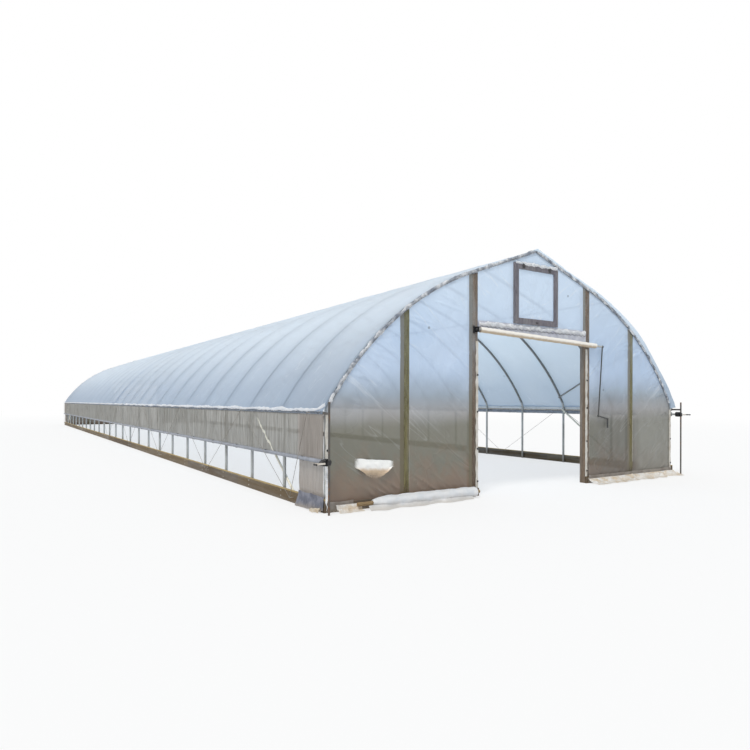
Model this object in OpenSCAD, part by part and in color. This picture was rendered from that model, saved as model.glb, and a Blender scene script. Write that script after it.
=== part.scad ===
// Gothic film greenhouse: tube bows on upright side posts, timber end walls with a
// roll-up door and a gable vent, a film cover, and side curtains rolled up by hand cranks.
// The front end wall faces -Y, the house runs along Y and the ground is at Z = 0.

/* [House] */
// Width between the side posts, centre to centre
span = 9144; // [8600:1:9800]
// Spacing of the bows along the house
bay = 1524; // [1200:1:1560]
// Number of bays along the house
bays = 25; // [8:1:25]
// Height of the ridge on the bow's centre line
peak_h = 4600; // [4500:10:4800]
// Height of the upright side posts
leg_h = 1510; // [1400:10:1600]

/* [Bows] */
// Diameter of the bow and post tube
bow_d = 60; // [48:1:70]
// Steepness of the straight run beside the ridge, against the arch's rise over half its width
top_steep = 0.5385; // [0.5:0.0005:0.58]
// Steepness of the bow where it bends down to the post, against the same
hip_steep = 2.368; // [2.25:0.001:2.6]
// Bending radius between post and bow, on the centre line
bend_r = 300; // [250:10:350]
// Wall of the sleeve that splices the arc and the straight run
splice_t = 2; // [1.5:0.5:4]
// Length of the splice sleeve
splice_l = 160; // [100:10:240]
// Diameter of purlins and braces
purlin_d = 42; // [30:1:50]
// Distance of the side purlins from the ridge
purlin_x = 2050; // [1900:10:2400]

/* [Bracing] */
// Distance of the wall brace's foot from the end bow
wall_brace_y = 1200; // [1100:10:1400]
// Height of the wall brace's foot
wall_brace_foot = 110; // [60:10:200]
// Height of the wall brace's head below the top of its post
wall_brace_drop = 40; // [30:5:120]
// Angle up the bow from its bend to the wind brace's lower end
wind_brace_low = 2; // [1.5:0.5:4]
// Angle up the bow from its bend to the wind brace's upper end
wind_brace_high = 17.5; // [14:0.5:20]

/* [Side walls] */
// Depth of the hip rail, across the house
rail_d = 40; // [30:1:60]
// Height of the hip rail
rail_h = 60; // [50:1:80]
// Wall of the hip rail tube
rail_wall = 3; // [2:0.5:5]
// Height of the film channel
channel_h = 38; // [30:1:44]
// Depth of the film channel
channel_d = 12; // [8:1:16]
// Wall of the film channel
channel_wall = 3; // [2:0.5:4]
// Gap between lengths of film channel
channel_gap = 2; // [1:0.5:5]
// Height of the side baseboards
side_board_h = 200; // [150:5:250]
// Thickness of the baseboards
board_t = 38; // [25:1:50]
// Width of the fixed film panel at each corner
corner_panel_l = 840; // [500:10:1200]

/* [Curtains] */
// Radius of the left curtain's roll, which is part way up
left_roll_r = 35; // [30:1:60]
// Height of the left curtain's roll
left_roll_z = 780; // [500:10:1100]
// Radius of the right curtain's roll, which is all the way up
right_roll_r = 50; // [40:1:70]
// Distance of the right curtain's roll below the hip rail
right_roll_drop = 30; // [20:5:80]
// Diameter of the tube inside the rolls
roll_tube_d = 42; // [30:1:48]
// Room between a roll and the fixed film panel
roll_clear = 2.5; // [1:0.5:10]
// Diameter of the ropes that hold the curtains in
rope_d = 8; // [5:1:12]
// Radius of the knots at the hooks
knot_r = 7; // [6:0.5:9]
// Room between the ropes and the rolls
rope_clear = 2; // [1:0.5:10]
// Distance of the first rope foot from the end bow
rope_start = 1000; // [800:10:1200]
// Bays from one rope foot to the next
rope_bays = 3; // [2:1:4]
// Distance of the rope's end hooks from the end bows
rope_end = 360; // [300:10:600]
// Height of the rope hooks on the baseboard
rope_foot_z = 100; // [50:5:150]
// Diameter of the rope hooks
hook_d = 10; // [6:1:14]

/* [Cranks] */
// Distance of the gearboxes in front of the end bow
gear_y = 150; // [120:5:200]
// Depth of a gearbox
gear_t = 90; // [70:5:120]
// Radius of a gearbox round the roll tube
gear_r = 55; // [45:1:70]
// Radius of a gearbox round the crank shaft
gear_lobe_r = 40; // [30:1:50]
// Distance from the roll tube to the crank shaft
gear_reach = 70; // [50:1:90]
// Drop of the crank shaft below the roll tube
gear_drop = 10; // [0:1:30]
// Length of a crank arm between shaft and knob
arm_l = 180; // [120:5:250]
// Width of a crank arm
arm_w = 28; // [20:1:36]
// Thickness of a crank arm
arm_t = 10; // [6:1:14]
// Diameter of the crank shaft
shaft_d = 16; // [12:1:20]
// Gap between gearbox and crank arm, bridged by the shaft
shaft_gap = 8; // [4:1:15]
// Length of the crank knob
knob_l = 90; // [60:5:120]
// Diameter of the guide poles
pole_d = 33; // [25:1:45]
// Height of the guide poles
pole_h = 1680; // [1600:10:1900]
// Wall of the sleeve that slides on the guide pole
sleeve_wall = 12; // [8:1:16]
// Height of the sleeve
sleeve_h = 70; // [50:5:90]
// Thickness of the bracket that steadies a guide pole
bracket_t = 8; // [5:1:12]
// Height of the bracket
bracket_h = 36; // [20:2:40]

/* [End walls] */
// Clear width of the doorway
door_w = 3000; // [2600:10:3100]
// Clear height of the doorway under the header
door_h = 3030; // [2900:10:3050]
// Height of the header
header_h = 130; // [90:5:130]
// Depth of the header
header_d = 38; // [25:1:60]
// Side of the square door posts
door_post_w = 130; // [100:5:150]
// Side of the square wall posts
wall_post_w = 110; // [80:5:150]
// Distance of the wall posts from the middle, to their centres
wall_post_x = 3080; // [2700:10:3300]
// Height of the end wall's baseboards
end_board_h = 140; // [100:5:180]
// Height of the film's lower edge above the ground
film_foot = 40; // [20:5:80]
// Width of the battens that hold the film on the jambs
batten_w = 45; // [30:1:55]
// Thickness of the battens
batten_t = 19; // [12:1:25]
// Distance of the battens' tops below the header
batten_drop = 250; // [240:5:400]

/* [Gable vent] */
// Width of the vent over its frame
vent_w = 1210; // [900:10:1240]
// Gap between the vent's upper corners and the bow
vent_top_gap = 25; // [15:5:150]
// Gap between the header and the vent
vent_lift = 10; // [5:1:20]
// Width of the vent frame's bars
vent_bar = 110; // [70:5:140]
// Thickness of the vent frame
vent_t = 38; // [25:1:50]

/* [Roll-up door] */
// Radius of the rolled-up door film
door_roll_r = 55; // [40:1:60]
// Length of the rolled-up door film
door_roll_l = 3250; // [3100:10:3300]
// Distance of the roll's left end from the middle of the doorway
door_roll_start = 1500; // [1450:10:1600]
// Height of the roll's left end below the header's underside
door_roll_drop = 45; // [30:5:80]
// Slope of the roll down to the right, in degrees
door_roll_tilt = 2.2; // [0:0.1:3]
// Diameter of the tube inside the roll
door_tube_d = 42; // [30:1:48]
// Length of the tube left of the roll
door_tube_left = 60; // [30:5:100]
// Length of the tube right of the roll
door_tube_right = 200; // [100:5:250]
// Diameter of the crank rod
rod_d = 25; // [18:1:32]
// Radius of the joint ball between tube and rod
joint_r = 28; // [24:1:36]
// Length of the rod's upper reach
rod_l = 1460; // [1200:10:1600]
// Lean of the rod's upper reach, in degrees
rod_lean = 5; // [0:0.5:8]
// Sideways offset of the rod's handle
rod_offset = 310; // [200:10:350]
// Drop along the offset
rod_offset_drop = 70; // [30:5:120]
// Length of the handle
rod_grip_l = 190; // [120:10:250]
// Diameter of the handle's grip
rod_grip_d = 34; // [30:1:40]
// Radius of the rod's knuckles
rod_knuckle_r = 22; // [21:1:26]

/* [Spare film] */
// Radius of the roll of spare end-wall film on the ground
tail_r = 100; // [80:5:130]
// Distance of the roll's outer end from the corner bow
tail_corner = 572; // [560:2:900]
// Distance of the roll's inner end from the doorway's edge
tail_gap = 200; // [150:10:250]
// Diameter of the wooden core
tail_core_d = 60; // [40:2:80]
// Length of core that shows at each end
tail_core_end = 110; // [60:5:130]
// Reach of the loose film apron in front of the right baseboard
apron_d = 260; // [150:5:270]
// Thickness of the loose film apron's folds
apron_t = 25; // [15:1:40]
// Thickness of every film sheet
film_t = 5; // [3:0.5:6]
// Reach of the cover past the end bows
film_over = 60; // [50:5:90]
// Reach of the end film outside the bow's centre line
film_lap = 25; // [20:1:28]

/* [Fit] */
// Gap where a piece lies against a round tube
seat = 0.3; // [0.2:0.05:0.5]

/* [Hidden] */
$fn = 64;
// Reach of a cut past the faces it opens
cut_past = 1;
// Sides of the circles that round off the large outlines
large_fn = 1440;
half = span / 2;
house_l = bay * bays;
bow_r = bow_d / 2;
purlin_r = purlin_d / 2;
rope_r = rope_d / 2;
door_half = door_w / 2;

// Bow: upright post, small bend, long arc, straight run to the ridge
arch_rise = peak_h - leg_h;
top_pitch = atan(top_steep * arch_rise / half);
hip_slope = atan(hip_steep * arch_rise / half);
turn_x = sin(hip_slope) - sin(top_pitch);
turn_z = cos(top_pitch) - cos(hip_slope);
reach_x = half - bend_r * (1 - sin(hip_slope));
reach_z = peak_h - leg_h - bend_r * cos(hip_slope);
turn_det = turn_x * sin(top_pitch) - turn_z * cos(top_pitch);
arc_r = (reach_x * sin(top_pitch) - reach_z * cos(top_pitch)) / turn_det;
rafter_l = (turn_x * reach_z - turn_z * reach_x) / turn_det;
arc_c = [rafter_l * cos(top_pitch) - arc_r * sin(top_pitch),
         peak_h - rafter_l * sin(top_pitch) - arc_r * cos(top_pitch)];
bend_c = [half - bend_r, leg_h];
under_tube = -(bow_r + seat + purlin_r);

function on_arc(angle, d) = arc_c + (arc_r + d) * [sin(angle), cos(angle)];
function ridge_z(d) = peak_h + d / cos(top_pitch);
function below_ridge(s, d) = [0, peak_h] + s * [cos(top_pitch), -sin(top_pitch)]
    + d * [sin(top_pitch), cos(top_pitch)];
function on_rafter(x) = x < on_arc(top_pitch, 0)[0];
// Height of the outline at distance d outside the bow's centre line
function arch_z(x, d) = on_rafter(x) ? ridge_z(d) - x * tan(top_pitch)
    : arc_c[1] + sqrt(pow(arc_r + d, 2) - pow(x - arc_c[0], 2));

// Planes of the end wall, from the front bow forward
on_bow = bow_r + splice_t + seat;
wall_y = -on_bow;
film_y = wall_y - film_t;
board_y = film_y - board_t;

// Planes of the side wall, from the post outward
side_x = half + bow_r + seat;
rail_x = side_x + rail_d;
channel_x = rail_x + channel_d;
film_in = on_bow;
film_out = film_in + film_t;
eave_slope = asin((rail_x - arc_c[0]) / (arc_r + film_in));
mid_slope = (top_pitch + eave_slope) / 2;
rail_top = on_arc(eave_slope, film_in)[1] - seat;
rail_bottom = rail_top - rail_h;
channel_top = rail_top - channel_wall;
channel_bottom = channel_top - channel_h;
right_roll_z = rail_bottom - right_roll_drop - right_roll_r;

// Side, roll radius and roll height of the two curtains
CURTAINS = [[-1, left_roll_r, left_roll_z], [1, right_roll_r, right_roll_z]];
wide_roll_r = max(left_roll_r, right_roll_r);
roll_x = side_x + film_t + roll_clear + wide_roll_r;
rope_x = roll_x + wide_roll_r + rope_clear + knot_r;

gear_front = gear_y + gear_t;
sleeve_r = pole_d / 2 + seat + sleeve_wall;
pole_y = -(gear_front + sleeve_r - sleeve_wall / 2);
arm_y = -(gear_front + shaft_gap);
knob_r = arm_w / 2;

door_film_y = film_y - film_t;
door_roll_y = door_film_y - seat - door_roll_r;
door_roll_z = door_h - door_roll_drop;
door_roll_end = door_roll_l + door_tube_right;
vent_z = door_h + header_h + vent_lift;
vent_h = arch_z(vent_w / 2, -on_bow) - vent_top_gap - vent_z;

// The origin is at the middle of the footprint
front_reach = -arm_y + arm_t + knob_l;
back_reach = door_roll_r - door_roll_y;
front_y = (front_reach - house_l - back_reach) / 2;

// Moves a piece from the front bow's plane to its place in the house
module placed() {
    translate([0, front_y, 0]) children();
}

// Draws a right-hand piece on the given side
module on_side(side) {
    mirror([side < 0 ? 1 : 0, 0, 0]) children();
}

module both_sides() {
    children();
    mirror([1, 0, 0]) children();
}

module both_ends() {
    children();
    translate([0, house_l, 0]) mirror([0, 1, 0]) children();
}

// One copy on each bow's plane
module each_bow() {
    for (i = [0 : bays]) translate([0, i * bay, 0]) children();
}

// Stands a flat outline up across the house, from y to y + t
module upright(y, t) {
    translate([0, y + t, 0]) rotate([90, 0, 0]) linear_extrude(t) children();
}

// Round bar between two points
module bar(p, q, r) {
    d = q - p;
    translate(p)
        rotate([0, acos(d[2] / norm(d)), atan2(d[1], d[0])])
        cylinder(h = norm(d), r = r);
}

// Round bar along the house
module long_bar(x, z, y1, y2, r) {
    bar([x, y1, z], [x, y2, z], r);
}

// Part of a disc that stands out past the chord from p to q
module bulge(c, r, p, q) {
    out = [p[1] - q[1], q[0] - p[0]];
    intersection() {
        translate(c) circle(r, $fn = large_fn);
        polygon([p - (p - c) / r, p, p + out, q + out, q, q - (q - c) / r]);
    }
}

// Outline of the house at distance d outside the bow's centre line
module under_arch(d) {
    top = on_arc(top_pitch, d);
    hip = on_arc(hip_slope, d);
    leg = [half + d, leg_h];
    polygon([[leg[0], 0], leg, hip, top, [0, ridge_z(d)], [-top[0], top[1]],
             [-hip[0], hip[1]], [-leg[0], leg[1]], [-leg[0], 0]]);
    both_sides() {
        bulge(arc_c, arc_r + d, top, hip);
        bulge(bend_c, bend_r + d, hip, leg);
    }
}

// Ring between two distances outside an arc of the bow, from slope a1 to slope a2
module ring_sector(c, r, d1, d2, a1, a2) {
    far = 2 * (r + d2);
    intersection() {
        difference() {
            translate(c) circle(r + d2, $fn = large_fn);
            translate(c) circle(r + d1, $fn = large_fn);
        }
        polygon([c, c + far * [sin(a1), cos(a1)], c + far * [sin(a2), cos(a2)]]);
    }
}

// Strip between two distances outside the straight run, from s1 to s2 down from the ridge
module rafter_strip(d1, d2, s1, s2) {
    polygon([below_ridge(s1, d1), below_ridge(s1, d2), below_ridge(s2, d2), below_ridge(s2, d1)]);
}

// Half of the film channel's outline round an end bow: three lengths set end to end
module channel_lengths(d, past) {
    ridge_gap = (channel_gap + d * sin(top_pitch)) / cos(top_pitch);
    arc_gap = channel_gap / arc_r * 180 / PI;
    bend_gap = channel_gap / bend_r * 180 / PI;
    upright_slope = 90;
    arc_past = past / arc_r * 180 / PI;
    bend_past = past / bend_r * 180 / PI;
    rafter_strip(-d, d, ridge_gap - past, rafter_l - channel_gap + past);
    ring_sector(arc_c, arc_r, -d, d, top_pitch - arc_past, hip_slope - arc_gap + arc_past);
    ring_sector(bend_c, bend_r, -d, d, hip_slope - bend_past,
                upright_slope - bend_gap + bend_past);
}

module roof_film_top() {
    upright(-film_over, house_l + 2 * film_over)
        polygon([[0, ridge_z(film_in)], [0, ridge_z(film_out)],
                 on_arc(top_pitch, film_out), on_arc(top_pitch, film_in)]);
}

module roof_film_shoulder() {
    upright(-film_over, house_l + 2 * film_over)
        ring_sector(arc_c, arc_r, film_in, film_out, top_pitch, mid_slope);
}

// Lower arc, which runs past the bow's bend down to the hip rail
module roof_film_eave() {
    upright(-film_over, house_l + 2 * film_over)
        ring_sector(arc_c, arc_r, film_in, film_out, mid_slope, eave_slope);
}

// Right half of a bow in the plane y = 0, from the post's bent top to the ridge
module bow_half() {
    foot = on_arc(top_pitch, 0);
    along = [-cos(top_pitch), 0, sin(top_pitch)];
    joint = [foot[0], 0, foot[1]];
    intersection() {
        bar(joint, joint + (rafter_l + bow_d) * along, bow_r);
        translate([0, -bow_d, 0]) cube([span, 2 * bow_d, 2 * peak_h]);
    }
    bar(joint - splice_l / 2 * along, joint + splice_l / 2 * along, bow_r + splice_t);
    translate([arc_c[0], 0, arc_c[1]])
        rotate([90, 0, 0])
        rotate([0, 0, 90 - hip_slope])
        rotate_extrude(angle = hip_slope - top_pitch)
        translate([arc_r, 0]) circle(bow_r);
}

// Side post on the right in the plane y = 0, bent in at its top to meet the bow
module side_post() {
    translate([half, 0, 0]) cylinder(h = leg_h, d = bow_d);
    translate([bend_c[0], 0, bend_c[1]])
        rotate([90, 0, 0])
        rotate_extrude(angle = 90 - hip_slope)
        translate([bend_r, 0]) circle(bow_r);
}

// Timber post whose top is cut to the underside of the bow
module end_post(x, w) {
    inner = x - w / 2;
    outer = x + w / 2;
    upright(wall_y, w)
        polygon([[inner, 0], [inner, arch_z(inner, -on_bow)], [outer, arch_z(outer, -on_bow)],
                 [outer, 0]]);
}

module side_posts() {
    color("#a9b0b4") placed() each_bow() both_sides() side_post();
}

module left_bows() {
    color("#b4bbc0") placed() each_bow() mirror([1, 0, 0]) bow_half();
}

module right_bows() {
    color("#b4bbc0") placed() each_bow() bow_half();
}

module ridge_purlin() {
    color("#b4bbc0") placed()
        long_bar(0, ridge_z(under_tube), -purlin_r, house_l + purlin_r, purlin_r);
}

module side_purlins() {
    angle = asin((purlin_x - arc_c[0]) / arc_r);
    p = on_arc(angle, under_tube);
    color("#b4bbc0") placed() both_sides()
        long_bar(p[0], p[1], -purlin_r, house_l + purlin_r, purlin_r);
}

// Box tubes along the tops of the side posts
module hip_rails() {
    color("#c8ccce") placed() both_sides()
        upright(-film_over, house_l + 2 * film_over)
        difference() {
            translate([side_x, rail_bottom]) square([rail_d, rail_h]);
            translate([side_x + rail_wall, rail_bottom + rail_wall])
                square([rail_d - 2 * rail_wall, rail_h - 2 * rail_wall]);
        }
}

// Grooved channels on the rails that lock the cover's edge
module hip_channels() {
    color("#9aa3aa") placed() both_sides()
        upright(-film_over, house_l + 2 * film_over)
        difference() {
            translate([rail_x, channel_bottom]) square([channel_d, channel_h]);
            translate([rail_x + channel_wall, channel_bottom + channel_wall])
                square([channel_d, channel_h - 2 * channel_wall]);
        }
}

module side_baseboards() {
    color("#8f7f55") placed() both_sides()
        translate([side_x, board_y, 0]) cube([board_t, house_l - 2 * board_y, side_board_h]);
}

// Diagonal tubes inside the side posts at each corner
module wall_braces() {
    x = half + under_tube;
    color("#c3c8ca") placed() both_ends() both_sides()
        bar([x, wall_brace_y, wall_brace_foot], [x, 2 * bay, leg_h - wall_brace_drop], purlin_r);
}

// Sloping tubes under the roof from the second bow's hip to the end bow
module wind_braces() {
    low = on_arc(hip_slope - wind_brace_low, under_tube);
    high = on_arc(hip_slope - wind_brace_high, under_tube);
    color("#b4bbc0") placed() both_ends() both_sides()
        bar([low[0], 2 * bay, low[1]], [high[0], 0, high[1]], purlin_r);
}

module door_posts() {
    color("#6b6048") placed() both_ends() both_sides()
        end_post(door_half + door_post_w / 2, door_post_w);
}

module wall_posts() {
    color("#8b8455") placed() both_ends() both_sides() end_post(wall_post_x, wall_post_w);
}

module door_headers() {
    color("#8d8468") placed() both_ends()
        translate([-door_half, wall_y, door_h]) cube([door_w, header_d, header_h]);
}

module end_baseboards() {
    color("#8f7f55") placed() both_ends() both_sides()
        translate([door_half, board_y, 0]) cube([side_x - door_half, board_t, end_board_h]);
}

// Grooved channels that lock the end film round each end bow
module arch_channels() {
    color("#9aa3aa") placed() both_ends() both_sides() difference() {
        upright(film_y - channel_d, channel_d) channel_lengths(channel_h / 2, 0);
        upright(film_y - channel_d - channel_wall, channel_d)
            channel_lengths(channel_h / 2 - channel_wall, channel_gap / 4);
    }
}

// Battens over the film on the door jambs and the corner posts
module film_battens() {
    jamb_top = door_h - batten_drop;
    color("#e8e9ea") placed() both_ends() both_sides() {
        translate([door_half, film_y - batten_t, end_board_h])
            cube([batten_w, batten_t, jamb_top - end_board_h]);
        translate([half + film_lap - batten_w, film_y - batten_t, end_board_h])
            cube([batten_w, batten_t, leg_h - end_board_h]);
    }
}

// End-wall film between a door jamb and a corner post, drawn on the right
module end_film() {
    upright(film_y, film_t)
        intersection() {
            under_arch(film_lap);
            translate([door_half, film_foot]) square([span, peak_h]);
        }
}

module end_film_left() {
    color("#cdd8e2", 0.6) placed() both_ends() mirror([1, 0, 0]) end_film();
}

module end_film_right() {
    color("#cdd8e2", 0.6) placed() both_ends() end_film();
}

// Film over the doorway, cut out behind the vent
module gable_film() {
    pane_w = vent_w - 2 * vent_bar;
    color("#cdd8e2", 0.6) placed() both_ends()
        upright(film_y, film_t)
        difference() {
            intersection() {
                under_arch(film_lap);
                translate([-door_half, door_h]) square([door_w, peak_h]);
            }
            translate([-pane_w / 2, vent_z + vent_bar]) square([pane_w, vent_h - 2 * vent_bar]);
        }
}

module vent_outline(inset) {
    translate([-vent_w / 2 + inset, vent_z + inset])
        square([vent_w - 2 * inset, vent_h - 2 * inset]);
}

module vent_frames() {
    color("#8a8f98") placed() both_ends()
        upright(film_y - vent_t, vent_t)
        difference() {
            vent_outline(0);
            vent_outline(vent_bar);
        }
}

module vent_panes() {
    color("#d5dfe8", 0.6) placed() both_ends()
        upright(film_y - vent_t / 2, film_t) vent_outline(vent_bar + seat);
}

module roof_film_left_top() {
    color("#dfe6ee", 0.8) placed() mirror([1, 0, 0]) roof_film_top();
}

module roof_film_left_shoulder() {
    color("#dfe6ee", 0.8) placed() mirror([1, 0, 0]) roof_film_shoulder();
}

module roof_film_left_eave() {
    color("#dfe6ee", 0.8) placed() mirror([1, 0, 0]) roof_film_eave();
}

module roof_film_right_top() {
    color("#dfe6ee", 0.8) placed() roof_film_top();
}

module roof_film_right_shoulder() {
    color("#dfe6ee", 0.8) placed() roof_film_shoulder();
}

module roof_film_right_eave() {
    color("#dfe6ee", 0.8) placed() roof_film_eave();
}

// Fixed film behind the curtain's ends, between hip rail and baseboard
module corner_panels() {
    color("#d3d7d8", 0.7) placed() both_ends() both_sides()
        translate([side_x, wall_y, side_board_h])
        cube([film_t, corner_panel_l - wall_y, rail_bottom - side_board_h]);
}

// Hanging film from the hip channel down to the top of each roll
module curtains() {
    color("#cfd2cf", 0.7) placed() for (c = CURTAINS) {
        off = roll_x - rail_x - film_t;
        low = c[2] + sqrt(c[1] * c[1] - off * off) + seat;
        on_side(c[0])
            translate([rail_x, wall_y, low])
            cube([film_t, house_l - 2 * wall_y, channel_bottom - low]);
    }
}

// Rolled-up film round the roll tubes
module curtain_rolls() {
    color("#c6ccd2") placed() for (c = CURTAINS)
        difference() {
            long_bar(c[0] * roll_x, c[2], wall_y, house_l - wall_y, c[1]);
            long_bar(c[0] * roll_x, c[2], wall_y - cut_past, house_l - wall_y + cut_past,
                     roll_tube_d / 2 + seat);
        }
}

module roll_tubes() {
    color("#9ba4ab") placed() for (c = CURTAINS)
        long_bar(c[0] * roll_x, c[2], -gear_y, house_l + film_over, roll_tube_d / 2);
}

// Outline of a gearbox round the roll tube at the origin, crank shaft outward
module gear_outline() {
    lobe = [gear_reach, -gear_drop];
    circle(gear_r);
    translate(lobe) circle(gear_lobe_r);
    polygon([[0, gear_r], [gear_reach, gear_lobe_r - gear_drop],
             [gear_reach, -gear_lobe_r - gear_drop], [0, -gear_r]]);
}

// Gear housing with the sleeve that slides on the guide pole
module gearbox() {
    upright(-gear_front, gear_t) gear_outline();
    difference() {
        translate([0, pole_y, -sleeve_h / 2]) cylinder(h = sleeve_h, r = sleeve_r);
        translate([0, pole_y, -sleeve_h]) cylinder(h = 2 * sleeve_h, r = pole_d / 2 + seat);
    }
}

// Puts a piece on the axis of each curtain's roll tube, outward along +X
module at_rolls() {
    for (c = CURTAINS) on_side(c[0]) translate([roll_x, 0, c[2]]) children();
}

module gearboxes() {
    color("#1d1e20") placed() at_rolls() gearbox();
}

module crank_arms() {
    shaft = [gear_reach, -gear_drop];
    color("#b9b4a6") placed() at_rolls() {
        translate([shaft[0], 0, shaft[1]]) {
            bar([0, -gear_front, 0], [0, arm_y - arm_t / 2, 0], shaft_d / 2);
            upright(arm_y - arm_t, arm_t) {
                circle(arm_w / 2);
                translate([arm_l, 0]) circle(arm_w / 2);
                translate([0, -arm_w / 2]) square([arm_l, arm_w]);
            }
        }
    }
}

// Hand knobs, turned with a waist
module crank_knobs() {
    color("#161718") placed() at_rolls()
        translate([gear_reach + arm_l, arm_y - arm_t, -gear_drop])
        rotate([90, 0, 0])
        difference() {
            cylinder(h = knob_l, r = knob_r);
            rotate_extrude() translate([knob_r + knob_l / 2, knob_l / 2])
                circle(knob_l / 2 + knob_r / 4);
        }
}

module guide_poles() {
    color("#6d6258") placed() for (c = CURTAINS)
        translate([c[0] * roll_x, pole_y, 0]) cylinder(h = pole_h, d = pole_d);
}

// Angle brackets from the hip rails' ends to the guide poles
module guide_brackets() {
    z = rail_bottom + (rail_h - bracket_h) / 2;
    y = pole_y + pole_d / 2 + seat;
    color("#777c80") placed() both_sides() {
        translate([roll_x - bracket_t / 2, y, z]) cube([bracket_t, -film_over - y, bracket_h]);
        translate([side_x, -film_over - bracket_t, z])
            cube([roll_x + bracket_t / 2 - side_x, bracket_t, bracket_h]);
    }
}

// Puts a piece on the axis of the rolled-up door, which runs along +X from its left end
module at_door_roll() {
    translate([-door_roll_start, door_roll_y, door_roll_z])
        rotate([0, door_roll_tilt, 0]) children();
}

// Film from the header down to the door roll
module door_films() {
    left = door_roll_z;
    right = door_roll_z - door_w * tan(door_roll_tilt);
    color("#e4e6e4", 0.8) placed() both_ends()
        upright(door_film_y, film_t)
        polygon([[-door_half, left], [door_half, right], [door_half, door_h + header_h],
                 [-door_half, door_h + header_h]]);
}

module door_rolls() {
    color("#e2dccb") placed() both_ends() at_door_roll() rotate([0, 90, 0])
        difference() {
            cylinder(h = door_roll_l, r = door_roll_r);
            translate([0, 0, -cut_past])
                cylinder(h = door_roll_l + 2 * cut_past, r = door_tube_d / 2 + seat);
        }
}

module door_tubes() {
    color("#8a8d8f") placed() both_ends() at_door_roll()
        bar([-door_tube_left, 0, 0], [door_roll_end, 0, 0], door_tube_d / 2);
}

// Crank rods that hang from a joint ball at the door tube's end
module door_crank_rods() {
    end = door_roll_end + joint_r + seat;
    top = [-door_roll_start + end * cos(door_roll_tilt), door_roll_y,
           door_roll_z - end * sin(door_roll_tilt)];
    knee = top + rod_l * [-sin(rod_lean), 0, -cos(rod_lean)];
    elbow = knee + [rod_offset, 0, -rod_offset_drop];
    foot = elbow - [0, 0, rod_grip_l];
    color("#45474a") placed() both_ends() {
        translate(top) sphere(joint_r);
        bar(top, knee, rod_d / 2);
        translate(knee) sphere(rod_knuckle_r);
        bar(knee, elbow, rod_d / 2);
        translate(elbow) sphere(rod_knuckle_r);
        bar(elbow, foot, rod_grip_d / 2);
    }
}

tail_l = half - door_half - tail_gap - tail_corner;
tail_x = -door_half - tail_gap - tail_l;
tail_y = board_y - seat - tail_r;

module film_tail_roll() {
    color("#f2f4f5") placed() difference() {
        bar([tail_x, tail_y, tail_r], [tail_x + tail_l, tail_y, tail_r], tail_r);
        bar([tail_x - cut_past, tail_y, tail_r], [tail_x + tail_l + cut_past, tail_y, tail_r],
            tail_core_d / 2 + seat);
    }
}

module film_tail_core() {
    color("#8f7f55") placed()
        bar([tail_x - tail_core_end, tail_y, tail_r],
            [tail_x + tail_l + tail_core_end, tail_y, tail_r], tail_core_d / 2);
}

// Loose film on the ground along the right end board, thinning out forward
module film_apron() {
    color("#eef0f0") placed()
        translate([door_half, board_y, 0])
        rotate([90, 0, 90])
        linear_extrude(half - door_half)
        polygon([[0, 0], [0, apron_t], [-apron_d, apron_t / 3], [-apron_d, 0]]);
}

// Feet and heads of the zigzag rope along one side
rope_pitch = rope_bays * bay;
rope_count = floor((house_l - rope_start - rope_end) / rope_pitch);
rope_top_z = channel_bottom + channel_h / 2;
function rope_foot_y(i) = rope_start + i * rope_pitch;
rope_heads = concat([rope_end], [for (i = [0 : rope_count - 1]) rope_foot_y(i) + rope_pitch / 2],
                    [house_l - rope_end]);
rope_feet = [for (i = [0 : rope_count]) rope_foot_y(i)];

// Stretch of rope between two knots
module rope_leg(p, q) {
    to_knot = (knot_r + seat) * (q - p) / norm(q - p);
    bar(p + to_knot, q - to_knot, rope_r);
}

module curtain_ropes() {
    color("#d9d6cc") placed() both_sides() translate([rope_x, 0, 0]) {
        for (i = [0 : rope_count]) {
            foot = [0, rope_feet[i], rope_foot_z];
            rope_leg([0, rope_heads[i], rope_top_z], foot);
            rope_leg(foot, [0, rope_heads[i + 1], rope_top_z]);
        }
        for (y = rope_feet) translate([0, y, rope_foot_z]) sphere(knot_r);
        for (y = rope_heads) translate([0, y, rope_top_z]) sphere(knot_r);
    }
}

// Pins that carry the rope, on the hip channel and on the baseboard
module rope_hooks() {
    tip = rope_x - knot_r - seat;
    color("#3a3c3e") placed() both_sides() {
        for (y = rope_heads)
            bar([rail_x + channel_wall, y, rope_top_z], [tip, y, rope_top_z], hook_d / 2);
        for (y = rope_feet)
            bar([side_x + board_t, y, rope_foot_z], [tip, y, rope_foot_z], hook_d / 2);
    }
}

side_posts();
left_bows();
right_bows();
ridge_purlin();
side_purlins();
hip_rails();
hip_channels();
side_baseboards();
wall_braces();
wind_braces();
door_posts();
wall_posts();
door_headers();
end_baseboards();
arch_channels();
film_battens();
end_film_left();
end_film_right();
gable_film();
vent_frames();
vent_panes();
roof_film_left_top();
roof_film_left_shoulder();
roof_film_left_eave();
roof_film_right_top();
roof_film_right_shoulder();
roof_film_right_eave();
corner_panels();
curtains();
curtain_rolls();
roll_tubes();
gearboxes();
crank_arms();
crank_knobs();
guide_poles();
guide_brackets();
door_films();
door_rolls();
door_tubes();
door_crank_rods();
film_tail_roll();
film_tail_core();
film_apron();
curtain_ropes();
rope_hooks();
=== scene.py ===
"""Film greenhouse: films, rolls, bunched edges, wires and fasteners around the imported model, and the stage.

Laid out as a Blender add-on. Run as a script, it registers its operators, calls them in order and hands
the pieces to the frame. All lengths are in metres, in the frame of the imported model.
"""
import math
import random

import bpy
import numpy as np
from bpy.props import FloatProperty, FloatVectorProperty, PointerProperty
from mathutils import Matrix, Vector


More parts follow.
